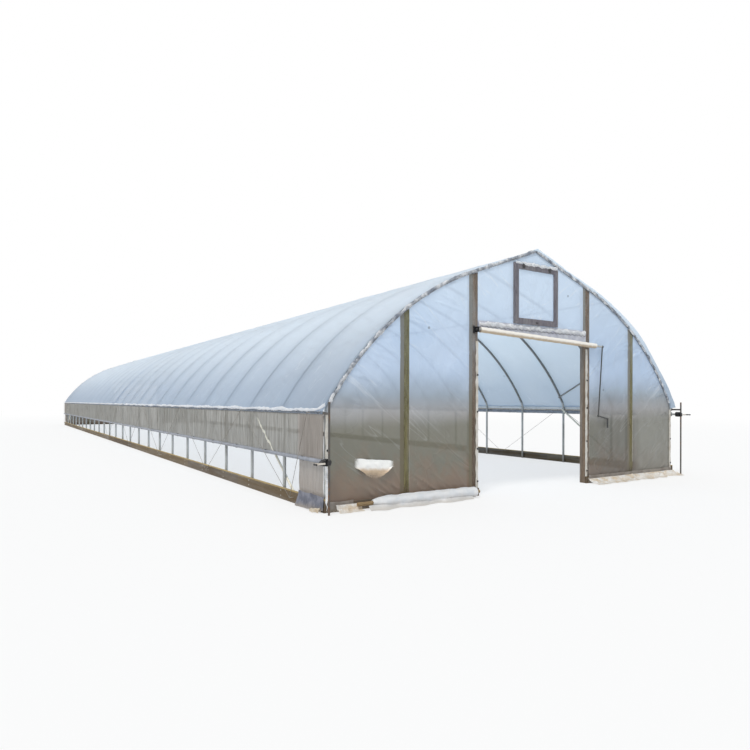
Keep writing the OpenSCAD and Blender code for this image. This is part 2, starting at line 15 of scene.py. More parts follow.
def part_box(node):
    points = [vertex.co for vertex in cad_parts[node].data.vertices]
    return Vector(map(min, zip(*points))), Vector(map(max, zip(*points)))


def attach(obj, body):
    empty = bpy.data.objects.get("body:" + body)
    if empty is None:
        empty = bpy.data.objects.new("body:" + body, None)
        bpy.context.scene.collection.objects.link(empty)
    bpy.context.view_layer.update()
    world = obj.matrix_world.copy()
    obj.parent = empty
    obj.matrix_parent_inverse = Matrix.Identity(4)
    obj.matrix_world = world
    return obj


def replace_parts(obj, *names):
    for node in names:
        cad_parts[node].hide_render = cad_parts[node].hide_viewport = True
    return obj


bl_info = {
    "name": "Film Greenhouse",
    "version": (1, 0, 0),
    "blender": (4, 5, 0),
    "location": "View3D > Sidebar > Greenhouse",
    "description": "Dresses the packed greenhouse with film, wire, rope and fasteners",
    "category": "Object",
}

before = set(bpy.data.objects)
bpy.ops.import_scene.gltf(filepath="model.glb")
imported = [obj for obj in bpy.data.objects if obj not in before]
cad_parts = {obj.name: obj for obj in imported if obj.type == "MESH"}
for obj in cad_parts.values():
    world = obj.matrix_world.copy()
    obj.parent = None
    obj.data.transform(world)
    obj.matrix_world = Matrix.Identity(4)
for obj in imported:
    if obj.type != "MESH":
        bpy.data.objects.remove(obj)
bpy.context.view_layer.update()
BODY = "root"


def low(node):
    """Lowest corner of a node at rest."""
    return Vector(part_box(node)[0])


def high(node):
    """Highest corner of a node at rest."""
    return Vector(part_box(node)[1])


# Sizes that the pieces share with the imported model
BOW_R = 0.03
BAYS = 25
HALF = high("side_posts").x - BOW_R
FRONT = low("side_posts").y + BOW_R
BACK = high("side_posts").y - BOW_R
BAY = (BACK - FRONT) / BAYS
FILM_T = 0.005
SEAT = 0.0003
SPLICE_T = 0.002
ON_BOW = BOW_R + SPLICE_T + SEAT
FILM_MID = ON_BOW + FILM_T / 2
FILM_FACE = ON_BOW + FILM_T
SIDE_X = HALF + BOW_R + SEAT
RAIL_X = high("hip_rails").x
RAIL_TOP = high("hip_rails").z
RAIL_BOTTOM = low("hip_rails").z
CHANNEL_X = high("hip_channels").x
CHANNEL_TOP = high("hip_channels").z
CHANNEL_BOTTOM = low("hip_channels").z
BOARD_H = high("side_baseboards").z
BOARD_T = high("side_baseboards").x - SIDE_X
BOARD_L = 3.66
END_BOARD_H = high("end_baseboards").z
END_BOARD_T = 0.038
DOOR_HALF = high("door_headers").x
DOOR_H = low("door_headers").z
HEADER_TOP = high("door_headers").z
DOOR_POST_W = high("door_posts").x - DOOR_HALF
WALL_POST_OUT = high("wall_posts").x
WALL_POST_W = 0.11
FLANK_W = 0.075
CURTAIN_X = high("curtains").x - FILM_T / 2
LEFT_ROLL_R = 0.035
RIGHT_ROLL_R = 0.05
ROLL_X = high("curtain_rolls").x - RIGHT_ROLL_R
LEFT_ROLL_Z = low("curtain_rolls").z + LEFT_ROLL_R
RIGHT_ROLL_Z = high("curtain_rolls").z - RIGHT_ROLL_R
PANEL_L = 0.84
BRACE_FOOT = (1.2, 0.11)
BRACE_HEAD = 1.47
FILM_FOOT = low("end_film_left").z
FILM_LAP = 0.025
VENT_HALF = high("vent_frames").x
VENT_LOW = low("vent_frames").z
VENT_TOP = high("vent_frames").z
VENT_BAR = VENT_HALF - high("vent_panes").x
BATTEN_W = 0.045
BATTEN_T = 0.019
BATTEN_TOP = high("film_battens").z
DOOR_ROLL_R = 0.055
DOOR_ROLL_L = 3.25
DOOR_ROLL_START = 1.5
DOOR_ROLL_TILT = math.radians(2.2)
DOOR_ROLL_OUT = FILM_FACE + FILM_T + SEAT + DOOR_ROLL_R
DOOR_ROLL_Z = DOOR_H - 0.045
TAIL_LOW = low("film_tail_roll")
TAIL_HIGH = high("film_tail_roll")
APRON_LOW = low("film_apron")
APRON_HIGH = high("film_apron")

# Plane and outward direction of the two end walls, and the way out of the two sides
ENDS = {"front": (FRONT, -1), "back": (BACK, 1)}
SIDES = {"left": -1, "right": 1}
UP = (0.0, 0.0, 1.0)

# Waves in a ripple and in a row of pleats, and the angle from which an edge of a fitting is sharp
RIPPLE_WAVES = 14
PLEAT_WAVES = 10
SHARP_EDGE = math.radians(40)

# Radius and depth of the steps in a roll's end
ROLL_END = ((0.9, 0.0), (0.84, 0.012), (0.62, 0.004), (0.55, 0.014), (0.36, 0.006), (0.3, 0.02))


class Arch:
    """Centre line of a bow: straight run beside the ridge, long arc, small bend, upright post."""

    peak = 4.6
    leg = 1.51
    bend_r = 0.3
    top_steep = 0.5385
    hip_steep = 2.368

    def __init__(self):
        rise = self.peak - self.leg
        self.pitch = math.atan(self.top_steep * rise / HALF)
        self.hip = math.atan(self.hip_steep * rise / HALF)
        sin_p, cos_p = math.sin(self.pitch), math.cos(self.pitch)
        turn_x = math.sin(self.hip) - sin_p
        turn_z = cos_p - math.cos(self.hip)
        reach_x = HALF - self.bend_r * (1 - math.sin(self.hip))
        reach_z = rise - self.bend_r * math.cos(self.hip)
        det = turn_x * sin_p - turn_z * cos_p
        self.radius = (reach_x * sin_p - reach_z * cos_p) / det
        self.run = (turn_x * reach_z - turn_z * reach_x) / det
        self.centre = (self.run * cos_p - self.radius * sin_p,
                       self.peak - self.run * sin_p - self.radius * cos_p)
        eave = math.asin((RAIL_X - self.centre[0]) / (self.radius + ON_BOW))
        self.eave_s = self.run + self.radius * (eave - self.pitch)
        self.hip_s = self.run + self.radius * (self.hip - self.pitch)

    def slope(self, s):
        """Angle of the outward normal from upright, at a distance down from the ridge."""
        return self.pitch + np.clip(np.abs(s) - self.run, 0, None) / self.radius

    def at(self, s, d):
        """Across and up positions, s along from the ridge (right is positive) and d outside the line."""
        side = np.where(np.asarray(s) < 0, -1.0, 1.0)
        length = np.abs(s)
        angle = self.slope(s)
        straight = length < self.run
        run = np.minimum(length, self.run)
        x_run = run * math.cos(self.pitch) + d * math.sin(self.pitch)
        z_run = self.peak - run * math.sin(self.pitch) + d * math.cos(self.pitch)
        x_arc = self.centre[0] + (self.radius + d) * np.sin(angle)
        z_arc = self.centre[1] + (self.radius + d) * np.cos(angle)
        return side * np.where(straight, x_run, x_arc), np.where(straight, z_run, z_arc)

    def height(self, x, d):
        """Height of the outline d outside the line, at a distance from the middle."""
        x = np.abs(np.asarray(x, float))
        z_run = self.peak + d / math.cos(self.pitch) - x * math.tan(self.pitch)
        arc_x, bend_x = self.centre[0], HALF - self.bend_r
        z_arc = self.centre[1] + np.sqrt(np.clip((self.radius + d) ** 2 - (x - arc_x) ** 2, 0, None))
        z_bend = self.leg + np.sqrt(np.clip((self.bend_r + d) ** 2 - (x - bend_x) ** 2, 0, None))
        run_x = self.centre[0] + (self.radius + d) * math.sin(self.pitch)
        hip_x = self.centre[0] + (self.radius + d) * math.sin(self.hip)
        return np.where(x < run_x, z_run, np.where(x < hip_x, z_arc, z_bend))


ARCH = Arch()


class FilmLook(bpy.types.PropertyGroup):
    """Sizes and colours of the films."""

    cover_high: FloatVectorProperty(
        name="Cover near the ridge", description="Colour of the cover where it catches the sky",
        subtype="COLOR", default=(0.84, 0.90, 0.96))
    cover_low: FloatVectorProperty(
        name="Cover near the hips", description="Colour of the cover low down, over the shaded inside",
        subtype="COLOR", default=(0.38, 0.43, 0.52))
    cover_sag: FloatProperty(
        name="Cover sag", description="Sag of the cover between two bows", unit="LENGTH", default=0.016)
    # The end film's high and half-way colours are painted light: the sky-lit blue that shows through it high up,
    # and painted shade of the inside below the hips.
    end_high: FloatVectorProperty(
        name="End film", description="Colour of the clear film on the end walls",
        subtype="COLOR", default=(0.57, 0.71, 0.92))
    end_mid: FloatVectorProperty(
        name="End film half way", description="Colour of the end film below the hips",
        subtype="COLOR", default=(0.185, 0.178, 0.135))
    end_low: FloatVectorProperty(
        name="End film low down", description="Colour of the end film where soil has splashed it",
        subtype="COLOR", default=(0.24, 0.145, 0.09))
    curtain: FloatVectorProperty(
        name="Curtain film", description="Colour of the hanging side curtains",
        subtype="COLOR", default=(0.27, 0.255, 0.225))
    white: FloatVectorProperty(
        name="Bunched film", description="Colour of film in bunches and many layers",
        subtype="COLOR", default=(0.90, 0.91, 0.93))
    roll: FloatVectorProperty(
        name="Rolled curtain", description="Colour of the curtain rolls",
        subtype="COLOR", default=(0.30, 0.32, 0.37))
    door_roll: FloatVectorProperty(
        name="Rolled door", description="Colour of the rolled-up door film",
        subtype="COLOR", default=(0.92, 0.88, 0.81))
    fold_depth: FloatProperty(
        name="Curtain fold depth", description="Depth of the folds in the side curtains",
        unit="LENGTH", default=0.012)
    flap_left: FloatProperty(
        name="Left flap", description="Loose edge of the cover past the end bow, left of the ridge",
        unit="LENGTH", default=0.05)
    flap_right: FloatProperty(
        name="Right flap", description="Loose edge of the cover past the end bow, right of the ridge",
        unit="LENGTH", default=0.13)


class FrameLook(bpy.types.PropertyGroup):
    """Colours of the frame."""

    zinc: FloatVectorProperty(
        name="Zinc", description="Colour of the galvanised tube", subtype="COLOR", default=(0.42, 0.44, 0.44))
    rail: FloatVectorProperty(
        name="Hip rail", description="Colour of the hip rails", subtype="COLOR", default=(0.78, 0.79, 0.80))
    channel: FloatVectorProperty(
        name="Channel", description="Colour of the film channels", subtype="COLOR",
        default=(0.34, 0.37, 0.41))
    door_post: FloatVectorProperty(
        name="Door posts", description="Colour of the door posts' timber", subtype="COLOR",
        default=(0.19, 0.14, 0.10))
    wall_post: FloatVectorProperty(
        name="Wall posts", description="Colour of the wall posts' timber", subtype="COLOR",
        default=(0.20, 0.185, 0.09))
    board: FloatVectorProperty(
        name="Baseboards", description="Colour of the baseboards' timber", subtype="COLOR",
        default=(0.072, 0.047, 0.019))
    vent: FloatVectorProperty(
        name="Vent frame", description="Colour of the vent's weathered frame", subtype="COLOR",
        default=(0.17, 0.165, 0.20))
    pole: FloatVectorProperty(
        name="Poles", description="Colour of guide poles and crank rods", subtype="COLOR",
        default=(0.10, 0.095, 0.09))
    rust: FloatVectorProperty(
        name="Rust", description="Colour of rust on the poles", subtype="COLOR", default=(0.22, 0.11, 0.05))


class StageLook(bpy.types.PropertyGroup):
    """Camera and light."""

    eye: FloatVectorProperty(
        name="Camera place", description="Place of the camera", subtype="TRANSLATION", unit="LENGTH",
        default=(-8.8477, -26.9377, 1.6986))
    turn: FloatProperty(
        name="Camera turn", description="Turn of the view from +Y towards +X", unit="ROTATION", default=0.5742)
    roll: FloatProperty(name="Camera roll", description="Tilt of the picture", unit="ROTATION", default=0.002)
    lens: FloatProperty(name="Lens", description="Focal length in millimetres", unit="CAMERA",
                        default=28.389)
    shift: FloatProperty(
        name="Shift", description="Upward shift of the picture as a share of its width", subtype="FACTOR",
        default=0.03466)
    sun: FloatProperty(name="Key light", description="Strength of the broad key light", default=1.7)
    sky: FloatProperty(name="Fill", description="Strength of the even light from all round", default=0.62)


class Greenhouse(bpy.types.PropertyGroup):
    """Everything that a user would change."""

    film: PointerProperty(type=FilmLook)
    parts: PointerProperty(type=FrameLook)
    stage: PointerProperty(type=StageLook)


def ripple(seed, a, b, size):
    """Smooth uneven waves over two coordinates, about -1 to 1, with waves about size metres long."""
    draw = random.Random(seed)
    total = np.zeros(np.broadcast(a, b).shape)
    for _ in range(RIPPLE_WAVES):
        turn = draw.uniform(0, math.tau)
        k = math.tau / size * draw.uniform(0.6, 1.6)
        total = total + np.sin(k * (a * math.cos(turn) + b * math.sin(turn)) + draw.uniform(0, math.tau))
    return total / math.sqrt(RIPPLE_WAVES)


def pleats(seed, along, size):
    """Uneven waves along one coordinate, about -1 to 1."""
    draw = random.Random(seed)
    total = np.zeros(np.shape(along))
    for _ in range(PLEAT_WAVES):
        k = math.tau / size * draw.uniform(0.55, 1.9)
        total = total + np.sin(k * along + draw.uniform(0, math.tau))
    return total / math.sqrt(PLEAT_WAVES)


def creases(u, v, lines):
    """Depth of straight creases over a sheet; a line is (u, v, angle, length, width, depth)."""
    total = np.zeros(np.shape(u))
    for cu, cv, angle, length, width, depth in lines:
        along = (u - cu) * math.cos(angle) + (v - cv) * math.sin(angle)
        across = -(u - cu) * math.sin(angle) + (v - cv) * math.cos(angle)
        taper = np.exp(-((along / (0.5 * length)) ** 4))
        total = total + depth * taper * np.exp(-((across / width) ** 2))
    return total


def rising(value, length):
    """Share that rises evenly from none at nought to one at a length."""
    return np.clip(value / length, 0, 1)


def span(values):
    """Length of an evenly rising row of values."""
    return float(values[-1] - values[0])


def piece(name, points, faces, finish):
    """New smooth mesh piece that rides on the house."""
    mesh = bpy.data.meshes.new(name)
    mesh.from_pydata([tuple(p) for p in points], [], faces)
    mesh.materials.append(finish)
    mesh.shade_smooth()
    mesh.update()
    obj = bpy.data.objects.new(name, mesh)
    bpy.context.scene.collection.objects.link(obj)
    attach(obj, BODY)
    return obj


def grid_faces(rows, cols, loop=False):
    """Quads over rows of points; loop joins the last column to the first."""
    faces = []
    for i in range(rows - 1):
        for j in range(cols if loop else cols - 1):
            a, b = i * cols + j, i * cols + (j + 1) % cols
            faces.append((a, b, b + cols, a + cols))
    return faces


def sheet_piece(name, x, y, z, finish, skip=None):
    """Piece from three arrays of the same shape, one row of points after another."""
    rows, cols = x.shape
    points = np.stack([x.ravel(), y.ravel(), z.ravel()], 1)
    faces = grid_faces(rows, cols)
    if skip is not None:
        faces = [f for k, f in enumerate(faces) if not skip(k // (cols - 1), k % (cols - 1))]
        used = sorted({i for f in faces for i in f})
        place = {old: new for new, old in enumerate(used)}
        points = points[used]
        faces = [tuple(place[i] for i in f) for f in faces]
    return piece(name, points, faces, finish)


class Shapes:
    """Collects points and faces of many small solids for one piece."""

    # Places along and radii of fastener heads, as shares of their size
    washer = ((0, 1.05), (0.14, 1.05), (0.18, 0.95))
    hexagon = ((0.18, 0.58), (0.62, 0.58), (0.72, 0.46))
    dome = ((0, 1.0), (0.35, 0.92), (0.6, 0.62), (0.7, 0.2))

    def __init__(self):
        self.points = []
        self.faces = []

    def rings(self, rings):
        """Skin over rings of points, with end caps."""
        start, cols = len(self.points), len(rings[0])
        faces = grid_faces(len(rings), cols, loop=True)
        faces.append(tuple(range(cols))[::-1])
        faces.append(tuple((len(rings) - 1) * cols + j for j in range(cols)))
        self.points += [tuple(p) for ring in rings for p in ring]
        self.faces += [tuple(start + i for i in f) for f in faces]

    def circle(self, centre, side, other, radius, sides):
        """Ring of points round a centre, in the plane of two directions."""
        angles = [math.tau * k / sides for k in range(sides)]
        return [centre + radius * (math.cos(a) * side + math.sin(a) * other) for a in angles]

    def turned(self, origin, axis, profile, sides):
        """Turned body: profile holds (distance along the axis, radius)."""
        axis = Vector(axis).normalized()
        side = axis.orthogonal().normalized()
        other = axis.cross(side)
        self.rings([self.circle(Vector(origin) + axis * along, side, other, radius, sides)
                    for along, radius in profile])

    def head(self, origin, axis, size, shares, sides):
        """Turned body from shares of one size."""
        self.turned(origin, axis, [(size * along, size * radius) for along, radius in shares], sides)

    def bolt(self, origin, axis, size):
        """Washer and hexagon head."""
        self.head(origin, axis, size, self.washer, 16)
        self.head(origin, axis, size, self.hexagon, 6)

    def screw(self, origin, axis, size):
        """Domed screw head."""
        self.head(origin, axis, size, self.dome, 12)

    def box(self, corner, opposite, e):
        """Block between two opposite corners, with its edges chamfered by e."""
        (ax, bx), (ay, by), (az, bz) = (sorted(pair) for pair in zip(corner, opposite))
        rings = []
        for z, inset in ((az, e), (az + e, 0), (bz - e, 0), (bz, e)):
            x0, x1, y0, y1 = ax + inset, bx - inset, ay + inset, by - inset
            rings.append([(x0 + e, y0, z), (x1 - e, y0, z), (x1, y0 + e, z), (x1, y1 - e, z),
                          (x1 - e, y1, z), (x0 + e, y1, z), (x0, y1 - e, z), (x0, y0 + e, z)])
        self.rings(rings)

    def tube(self, path, radius, sides):
        """Round bar along a path."""
        path = [Vector(p) for p in path]
        rings = []
        side = None
        for i, p in enumerate(path):
            ahead = (path[min(i + 1, len(path) - 1)] - path[max(i - 1, 0)]).normalized()
            side = ahead.orthogonal() if side is None else side - ahead * side.dot(ahead)
            side.normalize()
            rings.append(self.circle(p, side, ahead.cross(side), radius, sides))
        self.rings(rings)

    def piece(self, name, finish, slot):
        """One piece of all that was collected."""
        obj = piece(name, self.points, self.faces, finish)
        obj.data.set_sharp_from_angle(angle=SHARP_EDGE)
        return obj


class Nodes:
    """Short calls for a node tree."""

    def __init__(self, tree):
        self.tree = tree

    def add(self, kind, ins=None, **settings):
        node = self.tree.nodes.new(kind)
        for key, value in settings.items():
            setattr(node, key, value)
        for key, value in (ins or {}).items():
            self.put(node.inputs[key], value)
        return node

    def put(self, socket, value):
        if isinstance(value, bpy.types.NodeSocket):
            self.tree.links.new(value, socket)
        elif isinstance(value, (tuple, list)) and len(value) == 3 and socket.type == "RGBA":
            socket.default_value = (*value, 1.0)
        else:
            socket.default_value = value

    def math(self, operation, a, b=None):
        ins = {0: a} if b is None else {0: a, 1: b}
        return self.add("ShaderNodeMath", ins, operation=operation).outputs[0]

    def plus(self, a, b):
        return self.math("ADD", a, b)

    def minus(self, a, b):
        return self.math("SUBTRACT", a, b)

    def times(self, a, b):
        return self.math("MULTIPLY", a, b)

    def over(self, a, b):
        return self.math("DIVIDE", a, b)

    def most(self, a, b):
        return self.math("MAXIMUM", a, b)

    def apart(self, a, b):
        return self.math("ABSOLUTE", self.minus(a, b))

    def mix(self, factor, a, b, blend="MIX"):
        node = self.add("ShaderNodeMix", {"Factor": factor}, data_type="RGBA", blend_type=blend)
        self.put(node.inputs[6], a)
        self.put(node.inputs[7], b)
        return node.outputs[2]

    def ramp(self, value, low_at, high_at, out_low=0.0, out_high=1.0):
        return self.add("ShaderNodeMapRange", {
            "Value": value, "From Min": low_at, "From Max": high_at, "To Min": out_low, "To Max": out_high,
        }, interpolation_type="SMOOTHSTEP").outputs["Result"]

    def noise(self, vector, scale, detail=3.0, roughness=0.55):
        return self.add("ShaderNodeTexNoise", {
            "Vector": vector, "Scale": scale, "Detail": detail, "Roughness": roughness}).outputs["Fac"]

    def cells(self, vector, scale):
        return self.add("ShaderNodeTexVoronoi", {"Vector": vector, "Scale": scale}).outputs

    def scaled(self, vector, scale):
        return self.add("ShaderNodeVectorMath", {0: vector, 1: scale}, operation="MULTIPLY").outputs[0]

    def split(self, vector):
        return self.add("ShaderNodeSeparateXYZ", {0: vector}).outputs

    def split_colour(self, colour):
        return self.add("ShaderNodeSeparateColor", {0: colour}).outputs

    def place(self):
        return self.add("ShaderNodeTexCoord").outputs["Object"]

    def blend(self, share, shader, other):
        return self.add("ShaderNodeMixShader", {
            0: share, 1: shader.outputs[0], 2: other.outputs[0]}).outputs[0]

    def seen(self):
        """One for rays from the camera, from mirrors and through film."""
        path = self.add("ShaderNodeLightPath").outputs
        return self.most(path["Is Camera Ray"], self.most(path["Is Glossy Ray"], path["Is Transmission Ray"]))


SOCKETS = {"Vector": "NodeSocketVector", "Colour": "NodeSocketColor", "Worn": "NodeSocketColor"}


def new_group(name, inputs, outputs):
    """Empty shader node group; gives its nodes, its inputs and a call that feeds its outputs by name."""
    tree = bpy.data.node_groups.new(name, "ShaderNodeTree")
    for way, labels in (("INPUT", inputs), ("OUTPUT", outputs)):
        for label in labels:
            tree.interface.new_socket(name=label, in_out=way,
                                      socket_type=SOCKETS.get(label, "NodeSocketFloat"))
    n = Nodes(tree)
    given, out = n.add("NodeGroupInput").outputs, n.add("NodeGroupOutput").inputs

    def give(**values):
        for key, value in values.items():
            n.put(out[key.capitalize()], value)
        return tree

    return n, given, give


def timber_group():
    """Sawn timber: fibres, year bands, knots and grey weathering."""
    n, given, give = new_group("sawn_timber", ("Vector", "Colour", "Grey"), ("Colour", "Roughness", "Height"))
    fibre = n.noise(given["Vector"], 9.0, 6.0, 0.65)
    band = n.noise(given["Vector"], 1.7, 2.0)
    knot = n.ramp(n.cells(given["Vector"], 0.9)["Distance"], 0.06, 0.14, 1.0, 0.0)
    dark = n.mix(n.ramp(fibre, 0.35, 0.7), given["Colour"], (0.5, 0.46, 0.42), "MULTIPLY")
    light = n.mix(n.ramp(band, 0.35, 0.68), dark, (1.35, 1.3, 1.2), "MULTIPLY")
    stained = n.mix(n.times(knot, 0.6), light, (0.10, 0.07, 0.04))
    patch = n.ramp(n.noise(given["Vector"], 0.55, 4.0), 0.42, 0.66)
    return give(colour=n.mix(n.times(patch, given["Grey"]), stained, (0.33, 0.33, 0.32)),
                roughness=n.ramp(fibre, 0.2, 0.8, 0.62, 0.9),
                height=n.minus(fibre, n.times(knot, 0.3)))


def zinc_group():
    """Dull zinc: crystal spangle, long streaks and dirt in patches."""
    n, given, give = new_group("zinc_coat", ("Vector", "Colour", "Dirt"), ("Colour", "Roughness", "Height"))
    tone = n.split_colour(n.cells(given["Vector"], 85.0)["Color"])[0]
    cloud = n.noise(given["Vector"], 2.3, 4.0)
    bright = n.mix(n.ramp(tone, 0.0, 1.0, 0.0, 0.3), given["Colour"], (0.62, 0.64, 0.66))
    streak = n.ramp(cloud, 0.45, 0.72)
    return give(colour=n.mix(n.times(streak, given["Dirt"]), bright, (0.20, 0.18, 0.14)),
                roughness=n.plus(n.ramp(tone, 0.0, 1.0, 0.36, 0.5), n.times(streak, 0.2)),
                height=n.plus(n.times(tone, 0.3), cloud))


def crease_group():
    """Film creases: thin bright lines of painted highlight where the film has been folded, and soft waves."""
    n, given, give = new_group("film_creases", ("Vector", "Scale"), ("Line", "Height"))
    big = n.noise(given["Vector"], given["Scale"], 2.0, 0.4)
    # Line is a painted highlight along each crease.
    line = n.ramp(n.apart(big, 0.5), 0.0, 0.022, 1.0, 0.0)
    thin = n.times(line, n.ramp(n.noise(given["Vector"], 0.8, 2.0), 0.46, 0.64))
    small = n.noise(given["Vector"], n.times(given["Scale"], 5.0), 3.0)
    return give(line=thin, height=n.plus(thin, n.times(n.plus(big, small), 0.6)))


def splash_group():
    """Soil splash: strongest at the ground, with an uneven upper edge."""
    n, given, give = new_group("soil_splash", ("Vector", "Reach", "Amount"), ("Mask",))
    cloud = n.noise(given["Vector"], 3.2, 5.0, 0.6)
    reach = n.times(given["Reach"], n.ramp(cloud, 0.25, 0.75, 0.55, 1.35))
    level = n.over(n.split(given["Vector"])[2], reach)
    return give(mask=n.times(n.ramp(level, 0.0, 1.0, 1.0, 0.0), given["Amount"]))


def speck_group():
    """Specks: small dirt spots scattered over a sheet."""
    n, given, give = new_group("dirt_specks", ("Vector", "Scale"), ("Mask",))
    cells = n.cells(given["Vector"], given["Scale"])
    draw = n.split_colour(cells["Color"])
    spot = n.ramp(n.minus(cells["Distance"], n.times(draw[1], 0.05)), 0.0, 0.02, 1.0, 0.0)
    return give(mask=n.times(spot, n.math("GREATER_THAN", draw[0], 0.55)))


def bow_group():
    """Bow shade: a soft darker stripe where the cover lies on each bow."""
    n, given, give = new_group("bow_shade", ("Vector", "Width"), ("Mask",))
    step = n.over(n.minus(n.split(given["Vector"])[1], FRONT), BAY)
    off = n.over(n.math("PINGPONG", step, 0.5), n.over(given["Width"], BAY))
    return give(mask=n.most(n.ramp(off, 0.35, 1.0, 1.0, 0.0), n.ramp(off, 0.6, 6.0, 0.45, 0.0)))


def cling_group():
    """Film cling: clear where the end film lies on a post, and a mask beside the post for the painted shade of its
    flank seen through the film.
    """
    n, given, give = new_group("film_cling", ("Vector",), ("Clear", "Flank"))
    x, y, z = n.split(given["Vector"])
    turned = n.times(x, n.times(n.math("SIGN", y), -1.0))
    clear = flank = 0.0
    for inner, outer in ((DOOR_HALF, DOOR_HALF + DOOR_POST_W), (WALL_POST_OUT - WALL_POST_W, WALL_POST_OUT)):
        half = (outer - inner) / 2
        for middle in (-inner - half, inner + half):
            on_post = n.ramp(n.apart(turned, middle), half - 0.004, half + 0.004, 1.0, 0.0)
            clear = n.most(clear, on_post)
            reach = n.apart(turned, middle - half - FLANK_W / 2)
            flank = n.most(flank, n.ramp(reach, FLANK_W / 2, FLANK_W / 2 + 0.012, 1.0, 0.0))
    cloud = n.ramp(n.noise(given["Vector"], 2.0, 3.0), 0.25, 0.6, 0.75, 1.0)
    return give(clear=n.times(n.times(clear, cloud), n.ramp(z, 0.1, 0.4, 0.6, 1.0)),
                flank=n.times(flank, n.ramp(z, 0.1, 0.5, 0.5, 0.9)))


def scuff_group():
    """Scuffs: uneven tone and worn patches for plastic, paint and rust."""
    n, given, give = new_group("scuffs", ("Vector", "Colour", "Worn", "Amount", "Scale"),
                               ("Colour", "Roughness", "Height"))
    cloud = n.noise(given["Vector"], given["Scale"], 5.0, 0.62)
    patch = n.times(n.ramp(cloud, 0.48, 0.66), given["Amount"])
    return give(colour=n.mix(patch, given["Colour"], given["Worn"]),
                roughness=n.plus(n.ramp(cloud, 0.3, 0.7, 0.38, 0.55), n.times(patch, 0.25)),
                height=cloud)


GROUP_MAKERS = {"timber": timber_group, "zinc": zinc_group, "crease": crease_group, "splash": splash_group,
                "speck": speck_group, "bow": bow_group, "cling": cling_group, "scuff": scuff_group}
GROUPS = {}
MATERIALS = {}


def group(n, name, **ins):
    """Place one of the shared groups in a material, made when it is first asked for."""
    if name not in GROUPS:
        GROUPS[name] = GROUP_MAKERS[name]()
    node = n.add("ShaderNodeGroup", node_tree=GROUPS[name])
    for key, value in ins.items():
        n.put(node.inputs[key.capitalize()], value)
    return node.outputs


def material(name, build):
    """Material built once by its own function, which gets the nodes and the Principled shader."""
    if name not in MATERIALS:
        made = bpy.data.materials.new(name)
        made.use_nodes = True
        made.node_tree.nodes.clear()
        n = Nodes(made.node_tree)
        shader = n.add("ShaderNodeBsdfPrincipled")
        result = build(n, shader) or shader.outputs[0]
        n.add("ShaderNodeOutputMaterial", {"Surface": result})
        MATERIALS[name] = made
    return MATERIALS[name]


def feed(n, shader, **ins):
    """Link or set the shader's own sockets."""
    for key, value in ins.items():
        n.put(shader.inputs[key.replace("_", " ").title()], value)


def bump(n, shader, height, strength, distance):
    """Fine relief on the shader's normal."""
    node = n.add("ShaderNodeBump", {"Height": height, "Strength": strength, "Distance": distance})
    feed(n, shader, normal=node.outputs[0])


def let_light_through(n, shader, glow, share):
    """Mix in light from behind the film."""
    return n.blend(share, shader, n.add("ShaderNodeBsdfTranslucent", {"Color": glow}))


def look():
    """The values that a user may change."""
    return bpy.context.scene.greenhouse


def cover_film():
    """Cloudy cover: darker low down and on the bows, with creases and specks."""
    film = look().film

    def build(n, shader):
        place = n.place()
        z = n.split(place)[2]
        # Painted light and shade: the cover goes from a darker colour at the hips to a light one near the ridge,
        # for the shaded inside showing through low down and the sky caught high up.
        colour = n.mix(n.ramp(z, RAIL_TOP, 3.6), tuple(film.cover_low), tuple(film.cover_high))
        glow = n.mix(0.75, colour, (0.60, 0.80, 1.0))
        bow = group(n, "bow", vector=place, width=0.075)["Mask"]
        # Painted shade along each bow, stronger low down.
        colour = n.mix(n.times(bow, n.ramp(z, 1.6, 4.3, 0.72, 0.12)), colour, (0.30, 0.37, 0.47))
        crease = group(n, "crease", vector=n.scaled(place, (1.0, 2.2, 1.0)), scale=2.1)
        # Painted highlights along the creases.
        colour = n.mix(n.times(crease["Line"], 0.35), colour, (0.95, 0.96, 0.98))
        spot = group(n, "speck", vector=place, scale=1.15)["Mask"]
        feed(n, shader, base_color=n.mix(n.times(spot, 0.6), colour, (0.18, 0.20, 0.24)),
             roughness=n.ramp(n.noise(place, 3.0), 0.3, 0.7, 0.36, 0.46),
             alpha=n.ramp(n.noise(place, 1.1), 0.3, 0.7, 0.87, 0.95))
        bump(n, shader, crease["Height"], 0.12, 0.004)
        return let_light_through(n, shader, glow, 0.4)

    return material("cover_film", build)


